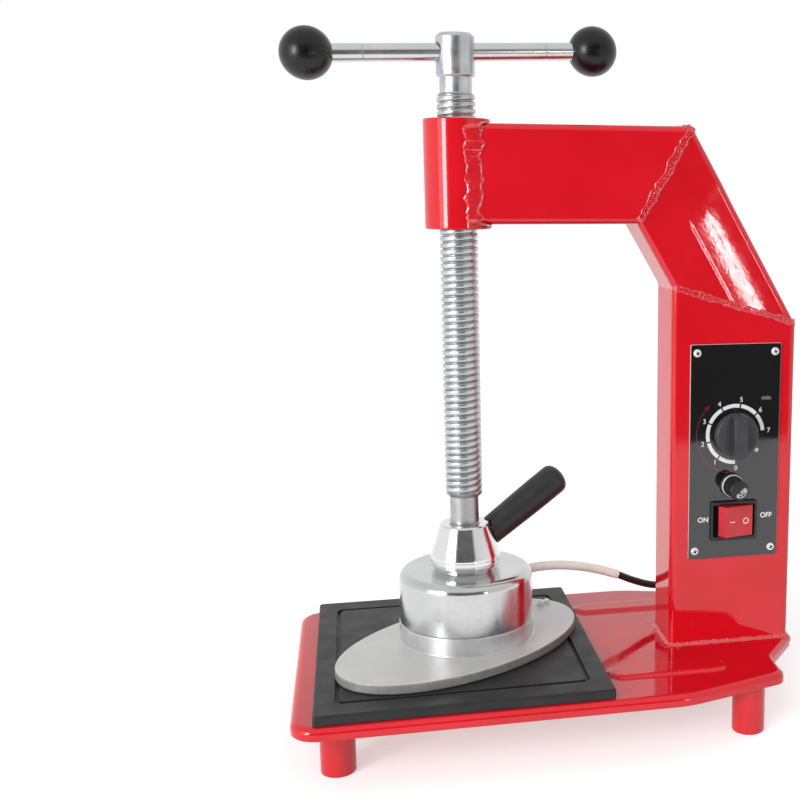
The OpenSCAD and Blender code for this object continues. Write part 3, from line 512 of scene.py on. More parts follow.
def makeCamera():
    v = view
    camera = placed("viewCamera", bpy.data.cameras.new("viewCamera"))
    camera.data.lens, camera.data.sensor_width = v["lens"], v["sensor"]
    camera.data.shift_x = v["shiftX"]
    camera.data.clip_start, camera.data.clip_end = v["near"], v["far"]
    camera.matrix_world = (Matrix.Translation(Vector(v["place"]) * mm) @ turn(-v["yaw"], "Z")
        @ turn(90 - v["pitch"], "X") @ turn(v["roll"], "Z"))
    bpy.context.scene.camera = camera


makeCamera()
bpy.context.scene.view_settings.view_transform = "Standard"


# Leads between the head and the post: the same route points as the solids, measured from the screw
leads = {
    "leadSleeve": {"route": [(48.15, 26.65, 101.5), (56.5, 31, 101.5), (68, 35.5, 101), (83, 39.5, 99.3),
            (100, 43, 95.8), (116, 45.8, 91), (132, 48, 85)],
        "width": 7.5, "look": "sleeveBraid", "slot": "sleeve_fabric", "node": "lead_sleeve",
        "near": "head", "far": "carrier"},
    "leadCable": {"route": [(132.6, 48.1, 84.7), (148, 51, 77.2), (165, 55, 71), (182, 60, 69), (197, 64, 74),
            (207, 67, 86), (211, 68.5, 102), (212, 68.5, 118), (212, 66, 133), (212, 58, 145), (212, 47, 150),
            (212, 39, 150)],
        "width": 6.0, "look": "leadBlack", "slot": "lead_rubber", "node": "lead_black",
        "near": "carrier", "far": "frame"},
}
leadTube = {"sides": 24, "step": 1.6, "fine": 24, "startSide": (0.2, -1, 0.3), "sharp": 50}


def smoothRoute(route):
    step, fineSteps = leadTube["step"], leadTube["fine"]
    knots = [Vector(p) + Vector((screwX, 0, 0)) for p in route]
    knots = [knots[0] * 2 - knots[1]] + knots + [knots[-1] * 2 - knots[-2]]
    fine = []
    for a, b, c, d in zip(knots, knots[1:], knots[2:], knots[3:]):
        for t in evenly(0, 1, fineSteps)[:-1]:
            fine.append(0.5 * (2 * b + (c - a) * t + (2 * a - 5 * b + 4 * c - d) * t * t
                + (3 * b - a - 3 * c + d) * t ** 3))
    fine.append(knots[-2])
    path, walked, due = [fine[0]], 0.0, step
    for a, b in zip(fine, fine[1:]):
        stretch = (b - a).length
        while walked + stretch >= due:
            path.append(a.lerp(b, (due - walked) / stretch))
            due += step
        walked += stretch
    if (path[-1] - fine[-1]).length < step / 2:
        path.pop()
    path.append(fine[-1])
    return path


def tubeAlong(name, path, radius):
    sides = leadTube["sides"]
    work = bmesh.new()
    layer = work.loops.layers.uv.new("along")
    side = Vector(leadTube["startSide"])
    rows, lengths, walked = [], [], 0.0
    for i, point in enumerate(path):
        heading = (path[min(i + 1, len(path) - 1)] - path[max(i - 1, 0)]).normalized()
        side = (side - heading * side.dot(heading)).normalized()
        lift = heading.cross(side)
        walked += (point - path[i - 1]).length if i else 0.0
        lengths.append(walked)
        around = ovalLine(1, 1, sides)
        rows.append([work.verts.new((point + (side * x + lift * y) * radius) * mm) for x, y in around])
    for i in range(len(rows) - 1):
        for k in range(sides):
            n = (k + 1) % sides
            face = work.faces.new((rows[i][k], rows[i][n], rows[i + 1][n], rows[i + 1][k]))
            for loop, (row, step) in zip(face.loops, ((i, k), (i, k + 1), (i + 1, k + 1), (i + 1, k))):
                loop[layer].uv = (lengths[row], step / sides)
    work.faces.new(rows[0][::-1])
    work.faces.new(rows[-1])
    bmesh.ops.recalc_face_normals(work, faces=work.faces)
    mesh = bpy.data.meshes.new(name)
    work.to_mesh(mesh)
    work.free()
    return soften(placed(name, mesh), leadTube["sharp"])


def makeLeads():
    for name, lead in leads.items():
        path = smoothRoute(lead["route"])
        tube = tubeAlong(name, path, lead["width"] / 2)
        tube.data.materials.append(looks[lead["look"]])
        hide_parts(lead["node"])
        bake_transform(tube)


makeLeads()


# Base plate: pressed sheet with a rolled edge and two raised beads
basePlate = {"left": -196.5, "right": 196.5, "width": 236, "cornerRadius": 20, "taperStart": 84.5,
    "taperRadius": 80, "earX": 166.5, "earWidth": 188, "earRadius": 11, "rootWidth": 124, "noseWidth": 46,
    "arcSteps": 10, "top": 47, "sheet": 3, "edge": 9, "bend": 5, "flatRings": (4, 0.8),
    "cutEdge": [(0, 1), (0, 0.6), (0.2, 0.2), (0.6, 0)],
    "beadWidth": 26, "beadHeight": 2.5, "beadRow": 70.5, "beadStart": 44, "beadEnd": 114.5, "beadSlope": 5.2,
    "beadSunk": 0.05, "beadRings": (0, 0.6, 1.6, 2.8, 4, 5.2, 6.6, 9, 11.5)}


def baseRing(depth, z):
    b = basePlate
    ear = b["earRadius"]
    half = [(b["left"], b["width"] / 2, b["cornerRadius"] - depth),
        (b["taperStart"], b["width"] / 2, b["taperRadius"] - depth),
        (b["earX"], b["earWidth"] / 2, ear - depth),
        (b["earX"], b["rootWidth"] / 2, ear + depth),  # the one hollow corner
        (b["right"], b["noseWidth"] / 2, ear - depth)]
    corners = [(x, -y, r) for x, y, r in half] + half[::-1]
    moved = insetLine([corner[:2] for corner in corners], depth)
    corners = [(*spot, corner[2]) for spot, corner in zip(moved, corners)]
    ring = []
    for i in range(len(corners)):
        arc = cornerArc(corners, i, b["arcSteps"])[0]
        ring += [Vector((p.x, p.y, z)) for p in arc]
    return ring


def makeBasePlate():
    b = basePlate
    top, low, bend, sheet = b["top"], b["top"] - b["edge"], b["bend"], b["sheet"]
    quarter = evenly(0, math.pi / 2, 8)

    def rolled(radius, angles):
        return [(bend - radius * math.sin(a), top - bend + radius * math.cos(a)) for a in angles]

    steps = [(bend + flat, top) for flat in b["flatRings"]] + rolled(bend, quarter)
    steps += [(x, low + z) for x, z in b["cutEdge"]]
    steps += [(sheet - x, low + z) for x, z in b["cutEdge"][::-1]]
    steps += rolled(bend - sheet, quarter[::-1])
    steps += [(bend + flat, top - sheet) for flat in b["flatRings"][::-1]]
    painted(loft("basePlate", [baseRing(depth, z) for depth, z in steps]), "base_plate")
    for side, label in ((-1, "Front"), (1, "Rear")):
        row = shift(0, side * b["beadRow"], 0)
        rings = []
        for inward in b["beadRings"]:
            rise = ease(min(1.0, inward / b["beadSlope"]))
            line = slotLine(b["beadStart"], b["beadEnd"], b["beadWidth"] / 2 - inward)
            rings.append(ringAt(line, top - b["beadSunk"] + b["beadHeight"] * rise, row))
        painted(loft("baseBead" + label, rings), "base_plate")


feet = {"places": [(-165.5, -85), (-165.5, 85), (139.5, -85), (139.5, 85)], "radius": 12.5, "height": 44.4,
    "edge": 1.2, "flare": 2.4, "flareHeight": 2.6, "flareRound": 2.2}


def makeFeet():
    f = feet
    r, h = f["radius"], f["height"]
    profile = roundedLine([(0, 0, 0), (r, 0, f["edge"]), (r, h - f["flareHeight"], f["flareRound"]),
        (r + f["flare"], h, 0), (0, h, 0)])
    foot = lathe("baseFeet", profile, Matrix.Identity(4), turns=64)
    painted(copyAt(foot, [shift(x, y, 0) for x, y in f["places"]]), "base_feet")


# Welded tubes: each runs between two cutting planes
tubes = {"depth": 50, "cornerRadius": 5, "postWidth": 100, "postMid": 143, "postFoot": 47,
    "postTop": ((93, 333.4), (193, 304.2)), "armHeight": 72, "armMid": 417,
    "mitre": ((65.5, 381), (107.07, 453)),
    "armStart": 9, "copeRadius": 24.6, "lean": 30}


def lineHit(point, heading, line):
    (x0, z0), (x1, z1) = line
    dx, dz = x1 - x0, z1 - z0
    t = ((x0 - point.x) * dz - (z0 - point.z) * dx) / (heading.x * dz - heading.z * dx)
    return point + heading * t


def sectionNormals(section):
    normals = []
    for i in range(len(section)):
        run = Vector(section[(i + 1) % len(section)]) - Vector(section[i - 1])
        normals.append(Vector((run.y, -run.x)).normalized())
    return normals


def fineSeam(points, normals, step):
    seam = []
    for i in range(len(points)):
        n = (i + 1) % len(points)
        count = max(1, round((points[n] - points[i]).length / step))
        for k in range(count):
            out = normals[i].lerp(normals[n], k / count).normalized()
            seam.append((points[i].lerp(points[n], k / count), out))
    return seam


# How every bead is laid; heights and widths are shares of its own height and width
bead = {"step": 0.45, "grain": 0.11, "sides": 14, "least": 0.30, "level": 0.76, "rippleHigh": 0.18,
    "lumpHigh": 0.55, "wide": 0.90, "rippleWide": 0.05, "waverWide": 0.42, "drift": 0.22, "rough": 0.45,
    "roughGrain": 0.95, "hollow": 0.45, "sunk": 0.9, "sharp": 70, "farthest": 196.4}
# turned: share of the height away from front and back; flank: how softly the edges run out;
# waver: how fast the width wanders; lively: how lumpy it is
welds = {
    "weldMitre": {"width": 6.8, "height": 1.0, "seed": 1, "ripple": 2.3, "turned": 0.5},
    "weldKnee": {"width": 5.4, "height": 0.9, "seed": 2, "ripple": 2.6, "turned": 0.5},
    "weldPost": {"width": 14.0, "height": 3.4, "seed": 3, "ripple": 4.8, "flank": 1.8, "waver": 1.5,
        "lively": 0.5},
    "weldBush": {"width": 13.0, "height": 1.7, "seed": 4, "ripple": 6.2, "flank": 2.2, "waver": 1.1,
        "lively": 0.35},
}


# A hand-laid bead: ripples, lumps and a slightly hollow crown
def weldBead(name, points, normals, width, height, seed, ripple, turned=1.0, flank=1.0, waver=2.3,
    lively=1.0):
    b = bead
    seam = fineSeam(points, normals, b["step"])
    offset = Vector((seed * 7.3, seed * 3.1, seed * 1.7))
    rings, walked = [], 0.0
    for i, (point, out) in enumerate(seam):
        before, after = seam[i - 1][0], seam[(i + 1) % len(seam)][0]
        walked += (point - before).length if i else 0.0
        across = (after - before).normalized().cross(out).normalized()
        spot = point * b["grain"] + offset
        lump = noise.noise(spot) + 0.9 * noise.noise(spot * 3.1)
        wave = abs(math.sin(math.pi * walked / ripple + 2.2 * noise.noise(spot * 1.4)))
        swell = b["level"] + lively * (b["rippleHigh"] * wave + b["lumpHigh"] * lump)
        tall = height * max(b["least"], swell) * (turned + (1 - turned) * abs(out.y))
        sway = noise.noise(spot * waver + Vector((9, 2, 5)))
        wide = width / 2 * (b["wide"] + b["rippleWide"] * wave + b["waverWide"] * sway)
        drift = across * width * b["drift"] * noise.noise(spot * 1.5 + Vector((2, 8, 1)))
        ring = []
        for x, y in ovalLine(1, 1, b["sides"]):
            rise = b["sunk"] * y
            if y > 0:
                rough = 1 + b["rough"] * noise.noise(point * b["roughGrain"] + across * x * 3.0 + offset)
                rise = tall * rough * (1 - b["hollow"] * y ** 6) * y ** flank
            place = point + drift + across * wide * x + out * rise
            place.x = min(place.x, b["farthest"])
            ring.append(place)
        rings.append(ring)
    return loft(name, rings, closed=True, sharp=b["sharp"])


drops = {"count": 46, "seed": 11, "away": (3.8, 7.5), "size": (0.35, 0.8), "farthest": 190, "sunk": 0.3}


# Small drops of spatter beside the post's seam on the base plate
def spatter(points, normals):
    draw = random.Random(drops["seed"])
    made = []
    for n in range(drops["count"]):
        i = draw.randrange(len(points))
        spot = points[i].lerp(points[(i + 1) % len(points)], draw.random())
        spot += normals[i] * draw.uniform(*drops["away"])
        size = draw.uniform(*drops["size"])
        dome = [(0, -drops["sunk"]), (size, -drops["sunk"]), (size * 0.95, size * 0.25),
            (size * 0.6, size * 0.6), (0, size * 0.75)]
        if spot.x + size < drops["farthest"]:
            made.append(lathe("drop%d" % n, dome, shift(*spot), turns=10))
    return made


# The brace's front is creased along its length: a thin ridge, and a right half that falls back
crease = {"place": -2.4, "ridgeHalf": 3.0, "ridgeHigh": 0.13, "nearSlope": 0.030, "farCurve": 0.00094,
    "steepest": 17, "levelled": 29, "fadeStart": 0.58, "fadeEnd": 0.74, "rings": 56, "fine": 0.7,
    "longSide": 10}


def creaseDepth(x):
    c = crease
    past = max(0.0, x - c["place"])
    bent = min(past, c["steepest"])
    fall = bent * c["nearSlope"] + bent * bent * c["farCurve"]
    if past > bent:
        slope, run = c["nearSlope"] + 2 * bent * c["farCurve"], c["levelled"] - bent
        beyond = min(past, c["levelled"]) - bent
        fall += slope * beyond * (1 - beyond / run / 2)
    ridge = max(0.0, 1 - ((x - c["place"]) / c["ridgeHalf"]) ** 2) ** 2 * c["ridgeHigh"]
    return fall - ridge


def makeBrace(section, across, along, middle):
    c = crease
    fine = []
    for i, (x, y) in enumerate(section):
        nextX, nextY = section[(i + 1) % len(section)]
        front = y < 0 and nextY == y and nextX - x > c["longSide"]
        count = round((nextX - x) / c["fine"]) if front else 1
        fine += [(x + (nextX - x) * k / count, y) for k in range(count)]
    axis = [middle + across * x + Vector((0, y, 0)) for x, y in fine]
    low = [lineHit(p, along, tubes["postTop"]) for p in axis]
    top = [lineHit(p, along, tubes["mitre"]) for p in axis]
    rings = []
    for share in evenly(0, 1, c["rings"]):
        fade = min(1.0, max(0.0, (c["fadeEnd"] - share) / (c["fadeEnd"] - c["fadeStart"])))
        ring = [a.lerp(b, share) for a, b in zip(low, top)]
        for p, (x, y) in zip(ring, fine):
            p.y = y + ease(fade) * creaseDepth(x) if y < 0 else y
        rings.append(ring)
    painted(loft("braceTube", rings), "brace_tube", "bracePaint")


def makeTubes():
    t = tubes
    post = boxOutline(t["postWidth"], t["depth"], t["cornerRadius"])
    arm = boxOutline(t["armHeight"], t["depth"], t["cornerRadius"])
    up, level = Vector((0, 0, 1)), Vector((1, 0, 0))
    foot = [Vector((t["postMid"] + x, y, t["postFoot"])) for x, y in post]
    knee = [lineHit(p, up, t["postTop"]) for p in foot]
    painted(loft("postTube", [foot, knee]), "post_tube")

    lean = math.radians(t["lean"])
    along = Vector((-math.sin(lean), 0, math.cos(lean)))
    across = Vector((math.cos(lean), 0, math.sin(lean)))
    middle = Vector(((t["mitre"][0][0] + t["mitre"][1][0]) / 2, 0, t["armMid"]))
    mitre = [lineHit(middle + across * x + Vector((0, y, 0)), along, t["mitre"]) for x, y in arm]
    makeBrace(arm, across, along, middle)

    bar = [Vector((0, y, t["armMid"] - x)) for x, y in arm]
    right = [lineHit(p, level, t["mitre"]) for p in bar]
    left = []
    for p in bar:
        cope = math.sqrt(max(0.0, t["copeRadius"] ** 2 - p.y ** 2))
        left.append(Vector((screwX + max(t["armStart"], cope), p.y, p.z)))
    painted(loft("armTube", [left, right]), "arm_tube")

    armFlat = sectionNormals(arm)
    postOut = [Vector((n.x, n.y, 0)) for n in sectionNormals(post)]
    braceOut = [(across * n.x + Vector((0, n.y, 0))).normalized() for n in armFlat]
    seams = {
        "weldMitre": (mitre, [a + Vector((0, n.y, n.x)) for a, n in zip(braceOut, armFlat)]),
        "weldKnee": (knee, [n + across * 0.3 * n.x for n in postOut]),
        "weldPost": (foot, [n + up for n in postOut]),
        "weldBush": (left, [Vector((-0.08, n.y, -n.x)) for n in armFlat]),
    }
    made = {}
    for name, (points, normals) in seams.items():
        made[name] = weldBead(name, points, [n.normalized() for n in normals], **welds[name])
    withDrops = joinPieces("weldPost", [made["weldPost"]] + spatter(foot, postOut))
    made["weldPost"] = soften(withDrops, bead["sharp"])
    for piece in made.values():
        dress(piece, "weldPaint", "frame", "red_paint")


bush = {"radius": 24.5, "bore": 14.3, "low": 377.4, "high": 456.6, "chamfer": 1, "edge": 1.0, "boreEdge": 0.3}


def makeBush():
    b = bush
    r, bore, low, high, cut, rim = b["radius"], b["bore"], b["low"], b["high"], b["chamfer"], b["boreEdge"]
    profile = roundedLine([(bore, low + cut, rim), (bore + cut, low, rim), (r, low, b["edge"]),
        (r, high, b["edge"]), (bore + cut, high, rim), (bore, high - cut, rim)], closed=True)
    painted(lathe("screwBush", profile, atScrew, closed=True), "screw_bush")


pad = {"left": -181, "right": 30, "width": 228, "low": 47.02, "top": 54.6, "edge": 1.6, "cornerRadius": 2.2,
    "underEdge": 0.6, "underRadius": 1.6, "grooveX": 16.5, "grooveY": 20, "grooveWidth": 3, "grooveDeep": 2.2,
    "grooveRim": 0.35, "outerRadius": 6, "innerRadius": 3.5}


# Rubber pad as one lofted skin: side, rounded edge, top band, groove, middle
def makePad():
    p = pad
    low, top, e, r, under = p["low"], p["top"], p["edge"], p["cornerRadius"], p["underEdge"]
    g, deep, rim = p["grooveWidth"] / 2, p["grooveDeep"], p["grooveRim"]
    skin = [(8, 0.5, low), (under, p["underRadius"], low), (0, r, low + under), (0, r, top - e * 1.3)]
    skin += [(e * (1 - math.cos(a)), r, top - e * (1 - math.sin(a))) for a in evenly(0, math.pi / 2, 6)]
    skin += [(e + 0.8, r, top)]
    groove = [(g + 1, top), (g + rim, top), (g, top - rim), (g, top - deep)]
    steps = [(inset, inset, radius, z) for inset, radius, z in skin]
    steps += [(p["grooveX"] - d, p["grooveY"] - d, p["outerRadius"], z) for d, z in groove]
    steps += [(p["grooveX"] + d, p["grooveY"] + d, p["innerRadius"], z) for d, z in groove[::-1]]
    middle = shift((p["left"] + p["right"]) / 2, 0, 0)
    rings = []
    for dx, dy, radius, z in steps:
        outline = boxOutline(p["right"] - p["left"] - 2 * dx, p["width"] - 2 * dy, radius)
        rings.append(ringAt(outline, z, middle))
    dress(loft("pressPad", rings), "padRubber", "frame", "pad_rubber", "press_pad")


makeBasePlate()
makeFeet()
makeTubes()
makeBush()
makePad()
print("frame and pad made")


# Screw with a true helical thread
spindle = {"threadLow": 174.5, "threadHigh": 474.5, "radius": 14, "root": 12.3, "pitch": 5, "columns": 56,
    "flankSteps": (0.0, 0.75, 0.92, 1.40, 1.58, 4.32, 4.50, 4.90), "flankRound": 0.14, "runOut": 1.3,
    "sharp": 50,
    "shank": 11, "shankLow": 134.5, "neck": 11.7, "neckHigh": 486.3, "headRadius": 14, "headTop": 516.8,
    "headChamfer": 2.5, "holeRadius": 7.5, "holeRim": 0.5}


def makeThread():
    s = spindle
    low, high, root, crest, soft = s["threadLow"], s["threadHigh"], s["root"], s["radius"], s["flankRound"]
    radii = (root, root, root + soft, crest - soft, crest, crest, crest - soft, root + soft)
    shape = list(zip(s["flankSteps"], radii))
    columns, points, faces = s["columns"], [], []
    rows = (round((high - low) / s["pitch"]) + 2) * len(shape)
    for k in range(columns):
        a = fullTurn * k / columns
        for j in range(rows):
            step, (offset, r) = j // len(shape) - 1, shape[j % len(shape)]
            z = min(high, max(low, low + (step + k / columns) * s["pitch"] + offset))
            r = min(r, root + s["runOut"] * min(z - low, high - z))
            points.append(Vector((screwX + r * math.cos(a), r * math.sin(a), z)))
    for k in range(columns):
        n, late = (k + 1) % columns, len(shape) if k == columns - 1 else 0
        for j in range(rows - 1 - late):
            faces.append((k * rows + j, n * rows + j + late, n * rows + j + 1 + late, k * rows + j + 1))
    for z, row in ((low, 0), (high, rows - 1)):
        centre = len(points)
        points.append(Vector((screwX, 0, z)))
        faces += [(centre, k * rows + row, (k + 1) % columns * rows + row) for k in range(columns)]
    return addPiece("spindleThread", points, faces, s["sharp"])


def makeSpindle():
    s = spindle
    low, high, root, shank = s["threadLow"], s["threadHigh"], s["root"], s["shank"]
    dress(makeThread(), "threadZinc", "spindle", "zinc_steel", "spindle_screw")
    profile = roundedLine([(0, s["shankLow"], 0), (shank, s["shankLow"], 0.6), (shank, low - 0.3, 0.3),
        (root - 0.1, low + 0.2, 0), (0, low + 0.2, 0)])
    dress(lathe("spindleShank", profile, atScrew), "shankSteel", "spindle", "zinc_steel", "spindle_screw")
    r, neck, foot, top, cut = s["headRadius"], s["neck"], s["neckHigh"], s["headTop"], s["headChamfer"]
    profile = roundedLine([(0, high - 0.2, 0), (root - 0.2, high - 0.2, 0), (neck, high + 0.6, 0.4),
        (neck, foot, 0.5), (r - 0.9, foot, 0.3), (r, foot + 1.1, 0.5), (r, top - cut, 1.2),
        (r - cut, top, 1.0),
        (0, top, 0)])
    piece = lathe("spindleHead", profile, atScrew, turns=128)
    across = fromScrew(tommyBar["height"], tommyBar["turn"], 90)
    carve(piece, [rod("holeCutter", s["holeRadius"], -40, 40, across, 64)], rim=s["holeRim"])
    dress(piece, "zincPlate", "spindle", "zinc_steel", "spindle_screw")


tommyBar = {"turn": 7.7, "rise": 2.65, "height": 503.7, "radius": 6.5, "half": 112.5, "chamfer": 0.6,
    "groove": 67, "grooveWidth": 1.0, "grooveDeep": 0.45, "reach": 105, "ballRadius": 18.35, "face": 17.3,
    "seam": 0.14, "seamWidth": 0.9, "seamSteps": (-2.2, -1.5, -0.9, -0.4, 0.4, 0.9, 1.5, 2.2)}


def makeBar():
    t = tommyBar
    along = fromScrew(t["height"], t["turn"], 90 - t["rise"])
    r, half, cut, w = t["radius"], t["half"], t["chamfer"], t["grooveWidth"] / 2
    floor = r - t["grooveDeep"]
    profile = [(0, -half), (r - cut, -half), (r, -half + cut)]
    for z in (-t["groove"], t["groove"]):
        profile += [(r, z - w - 0.3), (r, z - w), (floor, z - w * 0.4), (floor, z + w * 0.4), (r, z + w),
            (r, z + w + 0.3)]
    profile += [(r, half - cut), (r - cut, half), (0, half)]
    dress(lathe("tommyBar", profile, along, turns=72), "chromePlate", "bar", "chrome", "tommy_bar")
    ballRadius = t["ballRadius"]
    angles = evenly(math.acos(t["face"] / ballRadius), math.pi, 60)
    angles = sorted(angles + [math.radians(90 + degrees) for degrees in t["seamSteps"]])
    ball = [(0, -t["face"])]
    for a in angles[:-1]:
        bulge = ballRadius + t["seam"] * math.exp(-((math.degrees(a) - 90) / t["seamWidth"]) ** 2)
        ball.append((bulge * math.sin(a), -bulge * math.cos(a)))
    ball.append((0, ballRadius))
    for name, node, end in (("ballKnobLeft", "ball_knob_left", -1), ("ballKnobRight", "ball_knob_right", 1)):
        place = along @ Matrix.Diagonal((1, 1, end, 1)) @ shift(0, 0, t["reach"])
        dress(lathe(name, ball, place), "ballBlack", "bar", "bakelite", node)


makeSpindle()
makeBar()
print("screw and bar made")


# Heating head
head = {"plateLow": 54.9, "plateTop": 62.3, "a": 108, "b": 63, "turn": 35, "shiftL": -10, "shiftW": -5,
    "edge": 1.0, "flatTilt": 0.6, "bossRadius": 52, "bossTop": 76.8, "bossFoot": 1.2, "spigotRadius": 46.4,
    "spigotTop": 84.9, "drumRadius": 51.5, "drumLow": 76.9, "drumTop": 116.5, "drumFillet": 6.5,
    "drumInner": 46.5,
    "drumRoof": 8, "studs": [(93, 8, 3.2, 4.2), (100.3, 8, 2.6, 3.4)],
    "glandTurn": 29, "glandHeight": 101.5, "glandBore": 3.3, "glandNeck": 5, "glandCollar": 6.5,
    "glandStart": 44, "glandStep": 51.2, "glandEnd": 54.5}


def makePlate():
    h = head
    onPlate = atScrew @ turn(h["turn"], "Z") @ shift(h["shiftL"], h["shiftW"], 0)
    plate = prism("heatingPlate", ovalLine(h["a"], h["b"], 200), h["plateLow"], h["plateTop"], h["edge"],
        onPlate)
    dress(plate, "castMetal", "head", "cast_aluminium", "heating_plate")
    # faces that turn away from the top take the darker copy of the cast finish: a sawn edge with painted
    # shade
    secondFinish(plate, "sawnEdgeShade", lambda face: abs(face.normal.z) <= h["flatTilt"])
    low, high = h["plateTop"], h["bossTop"]
    r, foot, spigot = h["bossRadius"], h["bossFoot"], h["spigotRadius"]
    boss = roundedLine([(0, low - 1, 0), (r + foot, low - 1, 0), (r + foot, low, 0.2), (r, low + 0.05, 0.8),
        (r, high, 0.7), (spigot, high, 0.3), (spigot, h["spigotTop"], 0.8), (0, h["spigotTop"], 0)])
    dress(lathe("plateBoss", boss, atScrew, turns=128), "machinedMetal", "head", "cast_aluminium",
        "heating_plate")
    return onPlate


def makeHead():
    h = head
    onPlate = makePlate()
    low, high, r, inner = h["drumLow"], h["drumTop"], h["drumRadius"], h["drumInner"]
    roof = high - h["drumRoof"]
    drum = roundedLine([(0, roof, 0), (inner, roof, 1.0), (inner, low, 0.4), (r, low, 0.6),
        (r, high, h["drumFillet"]), (0, high, 0)])
    dress(lathe("heaterDrum", drum, atScrew, turns=160), "polishedMetal", "head", "polished_aluminium",
        "heater_drum")
    studs = []
    for i, (x, y, radius, rise) in enumerate(h["studs"]):
        dome = roundedLine([(0, -0.5, 0), (radius, -0.5, 0), (radius, rise * 0.6, 0.4),
            (radius * 0.6, rise, 0.7),
            (0, rise, 0)])
        studs.append(lathe("stud%d" % i, dome, onPlate @ shift(x, y, h["plateTop"]), turns=24))
    dress(soften(joinPieces("plateStuds", studs)), "brightZinc", "head", "zinc_steel", "plate_studs")
    bore, neck, collar = h["glandBore"], h["glandNeck"], h["glandCollar"]
    start, step, end = h["glandStart"], h["glandStep"], h["glandEnd"]
    profile = roundedLine([(bore, start, 0.2), (neck, start, 0.3), (neck, step, 0), (collar, step, 0.3),
        (collar, end, 1.4), (bore, end, 0.5)], closed=True)
    gland = lathe("headGland", profile, fromScrew(h["glandHeight"], h["glandTurn"], 90), turns=48,
        closed=True)
    dress(gland, "ceramicCream", "head", "ceramic", "head_gland")


cone = {"low": 116.5, "footRadius": 24, "footHeight": 4.5, "radius": 27, "bandTop": 11.5, "topRadius": 19.5,
    "height": 36, "chamfer": 1.2, "bore": 11.3, "boreFloor": 9, "mouth": 2.0, "grooves": [6.4, 9.8],
    "grooveLine": [(0, -0.5), (0, -0.35), (-0.4, 0), (0, 0.35), (0, 0.5)],
    "grubHeight": 142.5, "grubTurns": [60, 150], "grubHole": 3.1, "grubRadius": 3.0, "grubOut": 20.16,
    "grubIn": 12, "socketRadius": 1.7, "socketFloor": 1.5, "socketDeep": 2.4}


def makeCone():
    c = cone
    r, band, high, mouth = c["radius"], c["bandTop"], c["height"], c["mouth"]
    foot = roundedLine([(0, 0, 0), (c["footRadius"], 0, 0.5), (r, c["footHeight"], 0.7), (r, band, 0)])
    profile = foot[:-1]
    for z in c["grooves"]:
        profile += [(r + dr, z + dz) for dr, dz in c["grooveLine"]]
    profile += roundedLine([(r, band - 0.9, 0), (r, band, 0.8), (c["topRadius"], high - c["chamfer"], 0.5),
        (c["topRadius"] - c["chamfer"], high, 0.4), (c["bore"] + mouth, high, 0.3),
        (c["bore"], high - mouth, 0.4),
        (c["bore"], c["boreFloor"], 0), (0, c["boreFloor"], 0)])
    piece = lathe("coneSocket", profile, shift(screwX, 0, c["low"]), turns=160)
    g, start, back, deep = c["grubRadius"], c["grubIn"], c["grubOut"], c["grubOut"] - c["socketDeep"]
    grub = roundedLine([(0, start, 0), (g, start, 0.2), (g, back, 0.4), (c["socketRadius"], back, 0.1),
        (c["socketFloor"], deep, 0.1), (0, deep, 0)])
    holes, screws = [], []
    for i, degrees in enumerate(c["grubTurns"]):
        out = fromScrew(c["grubHeight"], degrees, 90)
        holes.append(rod("grubHole%d" % i, c["grubHole"], 9, 40, out, 40))
        screws.append(lathe("grub%d" % i, grub, out, turns=36))
    carve(piece, holes, rim=0.25)
    dress(piece, "turnedMetal", "head", "polished_aluminium", "cone_socket")
    dress(soften(joinPieces("retainingScrews", screws)), "blackOxide", "head", "black_steel",
        "retaining_screws")


handle = {"turn": 15, "rise": 33, "height": 129, "start": 17.5, "lowRadius": 11.0, "highRadius": 12.2,
    "footLine": [(-0.9, 0), (-0.25, 0.3), (0, 0.9)], "swell": 74.5, "tip": 97.5, "dome": 7.7,
    "domePower": 0.8,
    "gap": 0.4}


def makeHandle():
    h = handle
    along = fromScrew(h["height"], h["turn"], 90 - h["rise"])
    low, high, start = h["lowRadius"], h["highRadius"], h["start"]
    profile = [(0, start)] + [(low + dr, start + dz) for dr, dz in h["footLine"]]
    for t in evenly(0, 1, 16)[1:]:
        profile.append((low + (high - low) * (ease(t) + t) / 2, start + 1 + (h["swell"] - start - 1) * t))
    for a in evenly(0, math.pi / 2, 12)[:-1]:
        profile.append((high * math.cos(a) ** h["domePower"], h["tip"] - h["dome"] + h["dome"] * math.sin(a)))
    grip = lathe("handleGrip", profile + [(0, h["tip"])], along, turns=72)
    # its foot is hollowed to sit round the cone
    r, tip, high = cone["radius"] + h["gap"], cone["topRadius"] + h["gap"], cone["height"] + h["gap"]
    seat = [(0, -5), (r, -5), (r, cone["bandTop"]), (tip, high), (0, high)]
    carve(grip, [lathe("seatCutter", seat, shift(screwX, 0, cone["low"]), turns=128)])
    dress(grip, "gripBlack", "head", "bakelite", "handle_grip")


makeHead()
makeCone()
makeHandle()
print("heating head made")


# Control panel: everything in the panel's own plane, x right, y up, z out
panel = {"x": 143.7, "z": 204, "width": 73.4, "height": 171, "thick": 2, "cornerRadius": 1.4, "edge": 0.6,
    "gap": 0.02, "frontTilt": -0.75, "inkLift": 0.005, "screwX": 31.5, "screwY": 78.9,
    "wordSize": 5.6, "wordBold": 0.13, "onPlace": (-24.9, -53.9), "offPlace": (27.2, -52.6),
    "minSize": 5.4, "minPlace": (25.2, 42.5)}
dial = {"centre": (0.3, 14.4), "minutes": 7, "zeroTurn": 178, "minuteTurn": 38.3, "ringInner": 21,
    "ringOuter": 24,
    "barGap": 1.5, "numberRadius": 27.4, "numberSize": 5.4, "numberBold": 0.04,
    "dotRadius": 22.3, "dotTurn": 127, "dotSize": 1.6, "arcRadius": 31.5, "arcWidth": 0.55, "arcStart": 180,
    "arcEnd": 311, "tip": ((-1.6, -1), (0, 7), (1.6, -1))}


